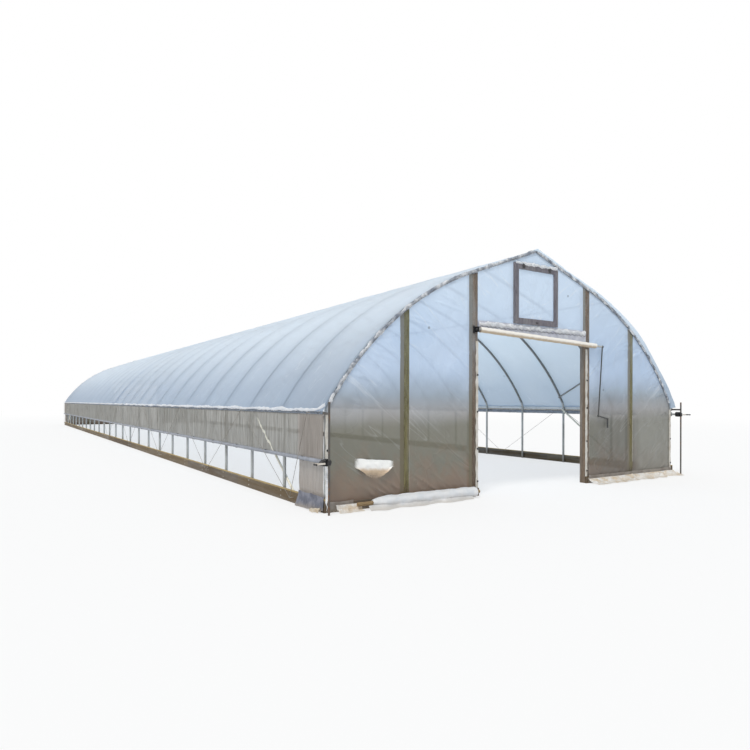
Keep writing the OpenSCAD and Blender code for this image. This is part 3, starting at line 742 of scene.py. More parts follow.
def end_film():
    """Clear film of the end walls, coloured with the light and shade that show through it: painted sky-lit blue
    high up and lighter in the gable, painted shade below the hips and on the right-hand panels, soil splash at the
    foot.
    """
    film = look().film

    def build(n, shader):
        place = n.place()
        x, y, z = n.split(place)
        cloud = n.noise(place, 0.9, 3.0)
        colour = n.mix(n.ramp(cloud, 0.3, 0.7, 0.0, 0.25), tuple(film.end_high), (0.78, 0.83, 0.92))
        # Painted light: lighter and bluer towards the gable.
        colour = n.mix(n.ramp(z, 2.6, 3.8, 0.0, 0.7), colour, (0.74, 0.86, 1.0))
        # Painted shade: below the hips the film takes the dark colour of the shaded inside seen through it, with a
        # cloudy edge.
        shade_below_hips = n.ramp(n.plus(z, n.times(cloud, 0.5)), 1.45, 2.65, 1.0, 0.0)
        colour = glow = n.mix(shade_below_hips, colour, tuple(film.end_mid))
        splash = group(n, "splash", vector=place, reach=1.05, amount=0.95)["Mask"]
        colour = n.mix(splash, colour, tuple(film.end_low))
        # Painted shade on the right-hand panels: darker below the hips and bluer above.
        shaded = n.ramp(x, 0.5, 2.5, 0.0, 0.6)
        colour = n.mix(n.times(shade_below_hips, shaded), colour, (0.085, 0.085, 0.075))
        colour = n.mix(n.times(shaded, 0.5), colour, (0.34, 0.45, 0.62), "DARKEN")
        # Less painted shade on the outer bay: its lower part is lifted to a paler grey.
        outer = n.ramp(x, WALL_POST_OUT - 0.05, WALL_POST_OUT + 0.3, 0.0, 0.5)
        colour = n.mix(n.times(shade_below_hips, outer), colour, (0.42, 0.42, 0.38))
        outward = n.add("ShaderNodeCombineXYZ", {0: n.math("ABSOLUTE", x), 1: y, 2: z}).outputs[0]
        tilt = n.add("ShaderNodeMapping", {"Vector": outward, "Rotation": (0.0, math.radians(38), 0.0)})
        crease = group(n, "crease", vector=n.scaled(tilt.outputs[0], (0.45, 1.0, 4.2)), scale=1.5)
        # Painted highlights along the creases, stronger higher up.
        line = n.times(crease["Line"], n.ramp(z, 1.0, 2.9, 0.10, 0.42))
        colour = n.mix(line, colour, (0.93, 0.95, 0.98))
        rail = n.apart(z, (RAIL_BOTTOM + RAIL_TOP) / 2 + 0.03)
        colour = n.mix(n.ramp(rail, 0.01, 0.30, 0.30, 0.0), colour, (0.62, 0.58, 0.60))
        spot = group(n, "speck", vector=place, scale=1.7)["Mask"]
        colour = n.mix(n.times(spot, 0.7), colour, (0.16, 0.17, 0.18))
        # Painted shade beside each post: the film takes the colour of the post's shaded flank seen through it.
        cling = group(n, "cling", vector=place)
        veil = n.ramp(z, 0.6, 3.2, 0.95, 0.85)
        feed(n, shader, base_color=n.mix(cling["Flank"], colour, (0.17, 0.145, 0.09)),
             roughness=n.ramp(cloud, 0.3, 0.7, 0.16, 0.32),
             alpha=n.times(veil, n.ramp(cling["Clear"], 0.0, 1.0, 1.0, 0.02)))
        bump(n, shader, crease["Height"], 0.3, 0.005)
        return let_light_through(n, shader, glow, 0.12)

    return material("end_film", build)


def curtain_film():
    """Cloudy side film in upright streaks, with painted highlight and painted shade streaks in the folds, a
    painted sunlit stripe over the wall brace, and paler near the ends.
    """
    film = look().film

    def build(n, shader):
        place = n.place()
        _, y, z = n.split(place)
        streak = n.noise(n.scaled(place, (1.0, 9.0, 0.5)), 2.4, 4.0)
        colour = n.mix(n.ramp(streak, 0.38, 0.62), tuple(film.curtain), (0.42, 0.405, 0.37))
        # Painted light and shade in the folds: thin lighter streaks for highlights and thin darker lines for
        # shade.
        fold_streak = n.noise(n.scaled(place, (1.0, 22.0, 0.6)), 2.0, 3.0)
        colour = n.mix(n.ramp(fold_streak, 0.56, 0.72, 0.0, 0.35), colour, (0.72, 0.71, 0.68))
        colour = n.mix(n.ramp(fold_streak, 0.3, 0.42, 0.28, 0.0), colour, (0.20, 0.195, 0.18))
        from_end = n.math("MINIMUM", n.minus(y, FRONT), n.minus(BACK, y))
        # Painted light: a cream stripe along the wall brace stands in for the sunlit brace seen through the
        # curtain, and also tints the light passed through.
        lean = (2 * BAY - BRACE_FOOT[0]) / (BRACE_HEAD - BRACE_FOOT[1])
        line = n.plus(n.times(n.minus(z, BRACE_FOOT[1]), lean), BRACE_FOOT[0] - 0.30)
        over = n.times(n.ramp(n.apart(from_end, line), 0.025, 0.055, 0.9, 0.0), n.ramp(z, 1.28, 1.42, 1.0, 0.0))
        near = n.ramp(from_end, PANEL_L - 0.03, PANEL_L + 0.03, 0.5, 0.0)
        colour = n.mix(near, colour, (0.57, 0.50, 0.46))
        colour = glow = n.mix(over, colour, (0.95, 0.91, 0.78))
        splash = group(n, "splash", vector=place, reach=0.8, amount=0.6)["Mask"]
        colour = n.mix(splash, colour, (0.40, 0.31, 0.24))
        crease = group(n, "crease", vector=n.scaled(place, (1.0, 5.0, 0.35)), scale=1.6)
        # Painted highlights along the creases.
        feed(n, shader, base_color=n.mix(n.times(crease["Line"], 0.35), colour, (0.66, 0.66, 0.66)),
             roughness=n.ramp(streak, 0.3, 0.7, 0.3, 0.45), alpha=n.ramp(z, 0.3, 1.4, 0.92, 0.86))
        bump(n, shader, crease["Height"], 0.3, 0.004)
        return let_light_through(n, shader, glow, 0.35)

    return material("curtain_film", build)


def layered_film(name, colour, other, alpha=1.0, soil=0.55):
    """Film in several layers: bunches, rolls and wrapped battens."""

    def build(n, shader):
        place = n.place()
        cloud = n.noise(place, 6.0, 4.0)
        tone = glow = n.mix(n.ramp(cloud, 0.35, 0.68), colour, other)
        fine = group(n, "crease", vector=place, scale=14.0)
        # Painted highlights along the fine creases.
        tone = n.mix(n.times(fine["Line"], 0.3), tone, (0.97, 0.97, 0.98))
        splash = group(n, "splash", vector=place, reach=0.12, amount=soil)["Mask"]
        feed(n, shader, base_color=n.mix(splash, tone, (0.45, 0.37, 0.27)),
             roughness=n.ramp(cloud, 0.3, 0.7, 0.3, 0.5), alpha=alpha)
        bump(n, shader, fine["Height"], 0.4, 0.003)
        return let_light_through(n, shader, glow, 0.2)

    return material(name, build)


def white_film():
    """Bunched white film."""
    return layered_film("white_film", tuple(look().film.white), (0.80, 0.83, 0.87))


def timber(name, colour, along, grey=0.45, splash=0.5):
    """Timber with its grain along x, y or z; along y it is laid in boards end to end, with a painted highlight on
    their top edge.
    """

    def build(n, shader):
        place = n.place()
        stretch = [12.0, 12.0, 12.0]
        stretch["xyz".index(along)] = 0.9
        grain = group(n, "timber", vector=n.scaled(place, tuple(stretch)), colour=colour, grey=grey)
        tone = grain["Colour"]
        if along == "y":
            step = n.over(n.minus(n.split(place)[1], FRONT), BOARD_L)
            board = n.add("ShaderNodeTexWhiteNoise", {"W": n.math("FLOOR", step)}, noise_dimensions="1D")
            tone = n.mix(n.ramp(board.outputs["Value"], 0.0, 1.0, 0.0, 0.35), tone, (0.30, 0.22, 0.10))
            seam = n.ramp(n.math("PINGPONG", step, 0.5), 0.0005, 0.0014, 0.85, 0.0)
            tone = n.mix(seam, tone, (0.02, 0.015, 0.01))
            # Painted highlight: the top edge of the baseboards is lighter, as if catching the sun.
            lit_top_edge = n.ramp(n.split(place)[2], BOARD_H - 0.022, BOARD_H - 0.012, 0.0, 0.85)
            tone = n.mix(lit_top_edge, tone, (0.55, 0.40, 0.17))
        mud = group(n, "splash", vector=place, reach=0.35, amount=splash)["Mask"]
        feed(n, shader, base_color=n.mix(mud, tone, (0.13, 0.09, 0.055)), roughness=grain["Roughness"])
        bump(n, shader, grain["Height"], 0.5, 0.003)

    return material(name, build)


def zinc(name, colour, dirt):
    """Zinc coat with soil at the foot."""

    def build(n, shader):
        place = n.place()
        coat = group(n, "zinc", vector=place, colour=colour, dirt=dirt)
        splash = group(n, "splash", vector=place, reach=0.4, amount=0.6)["Mask"]
        feed(n, shader, base_color=n.mix(splash, coat["Colour"], (0.18, 0.13, 0.08)),
             roughness=coat["Roughness"], metallic=0.55)
        bump(n, shader, coat["Height"], 0.15, 0.001)

    return material(name, build)


def scuffed(name, colour, worn, amount, scale, metallic=0.0):
    """Paint, plastic or metal with worn patches."""

    def build(n, shader):
        coat = group(n, "scuff", vector=n.place(), colour=colour, worn=worn, amount=amount, scale=scale)
        feed(n, shader, base_color=coat["Colour"], roughness=coat["Roughness"], metallic=metallic)
        bump(n, shader, coat["Height"], 0.2, 0.001)

    return material(name, build)


def rope_fibre():
    """Twisted rope, with painted shade in the grooves between the strands."""

    def build(n, shader):
        place = n.place()
        _, y, z = n.split(place)
        # Painted shade: the tone follows the same twist as the bump, darker in the grooves.
        twist = n.math("SINE", n.times(n.plus(y, n.times(z, 2.2)), 300.0))
        tone = n.mix(n.ramp(twist, -1.0, 1.0), (0.20, 0.19, 0.17), (0.42, 0.40, 0.36))
        dirt = n.ramp(n.noise(place, 4.0), 0.45, 0.7, 0.0, 0.6)
        feed(n, shader, base_color=n.mix(dirt, tone, (0.14, 0.12, 0.10)), roughness=0.85)
        bump(n, shader, twist, 0.5, 0.002)

    return material("rope_fibre", build)


def black_plastic():
    """Moulded black plastic."""
    return scuffed("black_plastic", (0.012, 0.012, 0.014), (0.06, 0.06, 0.06), 0.6, 30.0)


def plain_steel():
    """Plain steel of the small fasteners."""
    return scuffed("plain_steel", (0.52, 0.51, 0.48), (0.33, 0.26, 0.18), 0.6, 16.0, 0.6)


def dark_wire():
    """Coated wire that locks the film in its channels."""
    return scuffed("dark_wire", (0.05, 0.05, 0.055), (0.14, 0.12, 0.10), 0.5, 40.0, 0.3)


def out_y(end, out):
    """Position along the house at a distance outside an end bow's plane."""
    plane, way = ENDS[end]
    return plane + way * out


def outer_y(node, end):
    """Outermost position of a node at one end of the house."""
    return low(node).y if end == "front" else high(node).y


class PieceOperator:
    """What the operators share."""

    bl_options = {"REGISTER"}


class GREENHOUSE_OT_frame(PieceOperator, bpy.types.Operator):
    """Give the tubes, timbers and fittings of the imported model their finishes"""

    bl_idname = "greenhouse.frame"
    bl_label = "Frame finishes"

    def execute(self, context):
        parts = look().parts
        dull = tuple(0.42 * c for c in parts.zinc)
        finishes = {
            zinc("galvanised_tube", tuple(parts.zinc), 0.35): ("side_posts", "roll_tubes", "door_tubes"),
            zinc("bow_tube", dull, 0.3): (
                "left_bows", "right_bows", "ridge_purlin", "side_purlins", "wind_braces"),
            zinc("channel_metal", tuple(parts.channel), 0.3): ("arch_channels",),
            # Painted shade: the hip channels are near black, standing in for the shadow line under the gathered
            # film at the hips.
            zinc("hip_channel_shade_metal", (0.10, 0.11, 0.13), 0.2): ("hip_channels",),
            scuffed("brace_paint", (0.88, 0.83, 0.70), (0.62, 0.56, 0.44), 0.6, 6.0): ("wall_braces",),
            scuffed("rail_paint", tuple(parts.rail), (0.55, 0.56, 0.57), 0.6, 5.0): ("hip_rails",),
            scuffed("crank_steel", (0.70, 0.66, 0.60), (0.45, 0.36, 0.26), 0.5, 22.0, 0.25): ("crank_arms",),
            scuffed("pole_metal", tuple(parts.pole), tuple(parts.rust), 0.8, 7.0, 0.4): (
                "guide_poles", "guide_brackets"),
            scuffed("rod_metal", (0.055, 0.06, 0.06), (0.10, 0.09, 0.08), 0.5, 9.0, 0.2): (
                "door_crank_rods",),
            timber("side_board_wood", tuple(parts.board), "y"): ("side_baseboards",),
            timber("end_board_wood", tuple(parts.board), "x"): ("end_baseboards",),
            timber("door_post_wood", tuple(parts.door_post), "z"): ("door_posts",),
            timber("wall_post_wood", tuple(parts.wall_post), "z", 0.3): ("wall_posts",),
            timber("header_wood", (0.33, 0.29, 0.22), "x", 0.6): ("door_headers",),
            timber("vent_wood", tuple(parts.vent), "z", 0.35): ("vent_frames",),
            timber("core_wood", (0.36, 0.25, 0.12), "x", 0.2, 0.2): ("film_tail_core",),
            black_plastic(): ("gearboxes", "crank_knobs"),
            rope_fibre(): ("curtain_ropes",),
            plain_steel(): ("rope_hooks",),
        }
        for finish, nodes in finishes.items():
            for node in nodes:
                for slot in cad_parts[node].material_slots:
                    slot.material = finish
        return {"FINISHED"}


class GREENHOUSE_OT_cover(PieceOperator, bpy.types.Operator):
    """Lay the cover over the bows in two lengths, with a loose edge past each end bow"""

    bl_idname = "greenhouse.cover"
    bl_label = "Cover"
    to_ridge = 39
    per_bay = 26
    flap_steps = 8
    lap = 0.15
    lap_rise = 0.003
    turn_in = 0.045

    def flap_width(self, s, end):
        """Width of the loose edge past an end bow."""
        film = look().film
        width = np.where(s < 0, film.flap_left, film.flap_right) * (0.55 + 0.5 * rising(np.abs(s), ARCH.eave_s))
        seed = 7 if end == "front" else 8
        return width * (1 + 0.10 * pleats(seed, s, 2.4) + 0.04 * pleats(9, s, 0.4))

    def depth(self, s, y):
        """How far the film stands off its even place, outward."""
        edge = ARCH.eave_s - np.abs(s)
        hold = rising(edge, 0.6) * np.clip(np.abs(s) / 0.8 + 0.3, 0, 1)
        sag = -look().film.cover_sag * np.sin(np.pi * (((y - FRONT) / BAY) % 1.0)) ** 2 * hold
        soft = 0.0028 * ripple(11, s, y, 0.8) * rising(edge, 0.3)
        gather = 0.0045 * np.exp(-edge / 0.3) * pleats(12, y + 0.1 * s, 0.11)
        from_end = np.minimum(np.abs(y - FRONT), np.abs(y - BACK))
        pull = 0.006 * np.exp(-from_end / 0.4) * pleats(13, s, 0.14)
        return sag + soft + gather + pull

    def half_cover(self, name, end, inner_y):
        """One length of the cover: loose edge, sheet over the bows, and both long edges turned down."""
        half = np.linspace(0, ARCH.eave_s, self.to_ridge)
        s = np.concatenate([-half[::-1], half[1:]])
        plane, way = ENDS[end]
        y = np.linspace(plane, inner_y, int(abs(inner_y - plane) / BAY * self.per_bay))
        S, Y = np.meshgrid(s, y)
        rise = self.lap_rise if end == "back" else 0.0
        X, Z = ARCH.at(S, FILM_MID + self.depth(S, Y) + rise)
        width = self.flap_width(s, end)
        out = width * np.arange(self.flap_steps, 0, -1)[:, None] / self.flap_steps
        lift = out * (0.30 + 0.05 * pleats(21, s, 0.9) + 0.03 * pleats(22, s, 0.2))
        flap_x, flap_z = ARCH.at(np.broadcast_to(s, out.shape), FILM_MID + lift * np.where(s < 0, 0.3, 1.0))
        X, Z = np.vstack([flap_x, X]), np.vstack([flap_z, Z])
        Y = np.vstack([plane + way * out * 0.93, Y])
        tuck_x = np.array([0.006, 0.009, 0.009])
        tuck_z = np.array([-0.012, -0.03, -self.turn_in])
        X = np.hstack([X[:, :1] - tuck_x[::-1], X, X[:, -1:] + tuck_x])
        Y = np.hstack([Y[:, [0, 0, 0]], Y, Y[:, [0, 0, 0]]])
        Z = np.hstack([Z[:, :1] + tuck_z[::-1], Z, Z[:, -1:] + tuck_z])
        obj = sheet_piece(name, X, Y, Z, cover_film())
        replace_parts(obj, *[f"roof_film_{side}_{part}" for side in SIDES for part in ("top", "shoulder", "eave")])

    def execute(self, context):
        middle = FRONT + (BAYS // 2) * BAY
        self.half_cover("cover_front", "front", middle + self.lap)
        self.half_cover("cover_back", "back", middle - self.lap)
        return {"FINISHED"}


class GREENHOUSE_OT_end_films(PieceOperator, bpy.types.Operator):
    """Stretch the clear film over both end walls, with the creases that run from its fixings"""

    bl_idname = "greenhouse.end_films"
    bl_label = "End films"
    step = 0.02
    rows = 190
    gable_columns = 30
    gable_rows = (8, 27, 8)

    def lines(self, seed, low_x, high_x):
        """Creases from the fixings: from the jamb, from the arch and from the foot."""
        draw = random.Random(seed).uniform
        made = []
        for _ in range(30):
            made.append((low_x + draw(0.15, 0.6), draw(0.3, 2.9), draw(0.35, 0.85),
                         draw(0.3, 0.9), draw(0.014, 0.028), draw(-0.004, 0.012)))
        for _ in range(30):
            x = draw(low_x + 0.5, high_x - 0.1)
            z = float(ARCH.height(x, 0)) - draw(0.1, 0.5)
            made.append((x, z, draw(0.15, 0.75), draw(0.3, 1.0), draw(0.014, 0.026), draw(0.004, 0.013)))
        for _ in range(26):
            made.append((draw(low_x + 0.3, high_x - 0.1), draw(0.15, 0.7), draw(0.5, 1.0),
                         draw(0.4, 1.1), draw(0.016, 0.03), draw(0.005, 0.014)))
        return made

    def free(self, x, z, top):
        """Share of its slack that the film has: none on posts and at its fixed edges."""
        wall_post = WALL_POST_OUT - WALL_POST_W / 2
        return (rising(np.abs(x) - DOOR_HALF - DOOR_POST_W, 0.3)
                * rising(np.abs(np.abs(x) - wall_post) - WALL_POST_W / 2, 0.25)
                * rising(HALF - 0.03 - np.abs(x), 0.25) * rising(top - z - 0.06, 0.25)
                * rising(z - END_BOARD_H, 0.2))

    def panel(self, side, end, seed):
        """Film from a jamb to the corner, up to the arch."""
        x = np.linspace(DOOR_HALF, HALF + FILM_LAP - 0.0005, int((HALF - DOOR_HALF) / self.step))
        X, V = np.meshgrid(x, np.linspace(0, 1, self.rows))
        top = ARCH.height(X, FILM_LAP)
        Z = FILM_FOOT + V * (top - FILM_FOOT)
        slack = self.free(X, Z, top)
        out = slack * (0.010 + 0.008 * ripple(seed, X, Z, 0.9) + 0.004 * ripple(seed + 1, X, Z * 0.5, 0.25))
        out = out + np.clip(slack * 3, 0, 1) * creases(X, Z, self.lines(seed + 2, DOOR_HALF, HALF))
        Y = out_y(end, FILM_MID + np.clip(out, 0, 0.03))
        obj = sheet_piece(f"end_film_{side}_{end}", SIDES[side] * X, Y, Z, end_film())
        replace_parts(obj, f"end_film_{side}")

    def gable(self, end, seed):
        """Film over the doorway, with a hole for the vent."""
        pane, cols = VENT_HALF - VENT_BAR, self.gable_columns
        x = np.concatenate([np.linspace(-DOOR_HALF, -pane, cols), np.linspace(-pane, pane, cols)[1:-1],
                            np.linspace(pane, DOOR_HALF, cols)])
        top = ARCH.height(x, FILM_LAP)
        levels = [np.full_like(x, DOOR_H), np.full_like(x, VENT_LOW + VENT_BAR),
                  np.minimum(VENT_TOP - VENT_BAR, top - 0.06), top]
        rows = []
        for a, b, count in zip(levels, levels[1:], self.gable_rows):
            share = np.linspace(0, 1, count)[:, None]
            rows.append((a + share * (b - a))[1 if rows else 0:])
        Z = np.vstack(rows)
        X = np.broadcast_to(x, Z.shape)
        draw = random.Random(seed).uniform
        lines = [(way * draw(0.75, 1.35), draw(3.2, 4.0), way * draw(0.7, 1.1),
                  draw(0.25, 0.7), draw(0.006, 0.012), draw(0.002, 0.006))
                 for way in (-1, 1) for _ in range(18)]
        slack = (rising(DOOR_HALF - np.abs(X), 0.2) * rising(np.abs(X) - pane - VENT_BAR, 0.15)
                 * rising(top - Z - 0.05, 0.2) * rising(Z - HEADER_TOP, 0.15))
        out = slack * (0.006 + 0.005 * ripple(seed, X, Z, 0.5)) + np.clip(slack * 3, 0, 1) * creases(X, Z, lines)
        Y = out_y(end, FILM_MID + np.clip(out, 0, 0.02))
        hole_rows = range(self.gable_rows[0] - 1, sum(self.gable_rows[:2]) - 2)
        hole_columns = range(cols - 1, 2 * cols - 2)
        obj = sheet_piece(f"gable_film_{end}", X, Y, Z, end_film(),
                          skip=lambda i, j: i in hole_rows and j in hole_columns)
        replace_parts(obj, "gable_film")

    def execute(self, context):
        for k, end in enumerate(ENDS):
            for j, side in enumerate(SIDES):
                self.panel(side, end, 100 + 10 * k + 5 * j)
            self.gable(end, 140 + k)
        return {"FINISHED"}


def bunch(name, base, out, across, along, finish, width, depth, wave, seed):
    """Gathered strip of film along a line of fixings, with its directions outward and across."""
    v = np.linspace(0, 1, 9)
    spread = 0.95 + 0.26 * pleats(seed, along, wave * 3) + 0.13 * pleats(seed + 1, along, wave * 0.6)
    swell = 0.62 + 0.5 * pleats(seed + 2, along, wave) + 0.3 * pleats(seed + 3, along, wave * 0.35)
    shift = 0.12 * pleats(seed + 4, along, wave * 2.2)
    A = width * ((v - 0.5) * np.clip(spread, 0.3, 1.6)[:, None] + shift[:, None])
    fold = 0.30 * ripple(seed + 5, along[:, None], v[None, :] * wave * 2, wave * 0.8)
    hump = np.sin(np.pi * v) ** 0.7
    D = depth * hump * (np.clip(swell, 0.08, 1.5)[:, None] + np.clip(fold, -0.3, 0.6))
    out, across = (np.broadcast_to(way, base.shape)[:, None, :] for way in (out, across))
    P = base[:, None, :] + out * D[..., None] + across * A[..., None]
    obj = sheet_piece(name, P[..., 0], P[..., 1], P[..., 2], finish)
    span(along)


def roll_skin(name, start, axis, length, radius, seed, finish, slot,
              step, sides, rough=0.07, twist=3.0, taper=0.0):
    """Wrinkled roll of film: rings along an axis, a step in the skin, sunk ends and a taper at the start."""
    axis, start = Vector(axis).normalized(), Vector(start)
    side = axis.orthogonal().normalized()
    other = axis.cross(side)
    t = np.linspace(0, length, max(8, int(length / step)))
    a = np.linspace(0, math.tau, sides, endpoint=False)
    T, A = np.meshgrid(t, a, indexing="ij")
    turned = A + 0.1 * twist * T
    round_u, round_v = np.sin(turned) * radius, np.cos(turned) * radius
    lump = rough * (0.4 * ripple(seed, T * 0.3, round_u, radius) + 0.4 * ripple(seed + 1, T * 0.3, round_v, radius)
                    + 0.25 * ripple(seed + 2, T, round_u, 0.5) + 0.15 * ripple(seed + 3, T * 0.8, round_v, 0.04))
    edge = 0.05 * (((A / math.tau + 0.15 * np.sin(T * 1.3 + seed)) % 1.0) - 0.5)
    R = radius * (0.93 + np.clip(lump + edge, -0.12, 0.07))
    if taper:
        R = R * (0.46 + 0.54 * rising(T, taper) ** 0.6)
    around = np.cos(a)[:, None] * np.array(side) + np.sin(a)[:, None] * np.array(other)
    centres = [np.array(start + axis * float(along)) for along in t]
    rings = [centre + r[:, None] * around for centre, r in zip(centres, R)]
    ends = [[centres[k] + np.array(axis) * way * sunk + (rings[k] - centres[k]) * share
             for share, sunk in ROLL_END] for k, way in ((0, 1), (-1, -1))]
    made = Shapes()
    made.rings([[tuple(p) for p in ring] for ring in ends[0][::-1] + rings + ends[1]])
    return made.piece(name, finish, slot)


class GREENHOUSE_OT_curtains(PieceOperator, bpy.types.Operator):
    """Hang the side curtains and corner panels in folds, and roll the curtains on their tubes"""

    bl_idname = "greenhouse.curtains"
    bl_label = "Side curtains"
    columns = 800
    rows = {"left": 22, "right": 6}
    lap = 0.05
    clip_wire = 0.0016

    def curtain(self, side, end, seed):
        """Hanging film of one half of a side."""
        start, stop = low("curtains").y, high("curtains").y
        middle = (start + stop) / 2
        start, stop = (start, middle + self.lap) if end == "front" else (middle - self.lap, stop)
        y = np.linspace(start, stop, self.columns)
        foot = LEFT_ROLL_Z + 0.6 * LEFT_ROLL_R if side == "left" else RIGHT_ROLL_Z + 0.8 * RIGHT_ROLL_R
        top = CHANNEL_BOTTOM - 0.001
        Y, Z = np.meshgrid(y, np.linspace(foot, top, self.rows[side]))
        share = (Z - foot) / (top - foot)
        hold = rising(1 - share, 0.12) * np.clip(share / 0.12 + 0.25, 0, 1)
        tilt = Y + 0.05 * (1 - share) * pleats(seed + 3, Y, 1.5)
        wave = (0.7 * pleats(seed, tilt, 0.19) + 0.45 * pleats(seed + 1, tilt, 0.07)
                + 0.3 * ripple(seed + 2, Y, Z, 0.5))
        X = SIDES[side] * (CURTAIN_X + hold * np.clip(look().film.fold_depth * wave, -0.012, 0.022))
        obj = sheet_piece(f"curtain_{side}_{end}", X, Y, Z, curtain_film())
        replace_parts(obj, "curtains")

    def panel(self, side, end, seed):
        """Fixed film beside a corner."""
        plane, out = ENDS[end]
        y = plane - out * np.linspace(0.0, PANEL_L, 60)
        z = np.linspace(low("corner_panels").z, high("corner_panels").z, 26)
        Y, Z = np.meshgrid(y, z)
        share = (Z - z[0]) / (z[-1] - z[0])
        hold = rising(1 - share, 0.15) * rising(share, 0.1)
        wave = (0.75 * pleats(seed, Y + 0.04 * share, 0.2) + 0.4 * pleats(seed + 1, Y, 0.08)
                + 0.2 * ripple(seed + 2, Y, Z, 0.3))
        X = SIDES[side] * (SIDE_X + FILM_T / 2 + hold * np.clip(0.011 * wave + 0.006, 0, 0.02))
        obj = sheet_piece(f"corner_panel_{side}_{end}", X, Y, Z, curtain_film())
        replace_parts(obj, "corner_panels")

    def rolls(self):
        """Rolled part of both curtains, and the split sleeves that hold it on its tube."""
        film = look().film
        pale = tuple(min(1.0, c * 1.35) for c in film.roll)
        finish = layered_film("rolled_film", tuple(film.roll), pale)
        start, length = low("curtain_rolls").y, high("curtain_rolls").y - low("curtain_rolls").y
        clips = Shapes()
        for side, radius, z, seed in (("left", LEFT_ROLL_R, LEFT_ROLL_Z, 301),
                                      ("right", RIGHT_ROLL_R, RIGHT_ROLL_Z, 311)):
            x = SIDES[side] * ROLL_X
            obj = roll_skin(f"curtain_roll_{side}", (x, start, z), (0, 1, 0), length, radius, seed,
                            finish, "rolled_film", step=0.05, sides=14)
            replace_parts(obj, "curtain_rolls")
            arc = [((radius + 0.0015) * math.cos(a), (radius + 0.0015) * math.sin(a))
                   for a in np.linspace(-0.75 * math.pi, 0.75 * math.pi, 13)]
            y = FRONT + 0.62
            while y < BACK - 0.3:
                for off in (-0.028, 0.0, 0.028):
                    clips.tube([(x + u, y + off, z + v) for u, v in arc], self.clip_wire, sides=5)
                y += BAY
        clips.piece("roll_clips", black_plastic(), "black_plastic")

    def execute(self, context):
        for k, side in enumerate(SIDES):
            for j, end in enumerate(ENDS):
                self.curtain(side, end, 200 + 20 * k + 10 * j)
                self.panel(side, end, 250 + 20 * k + 10 * j)
        self.rolls()
        return {"FINISHED"}


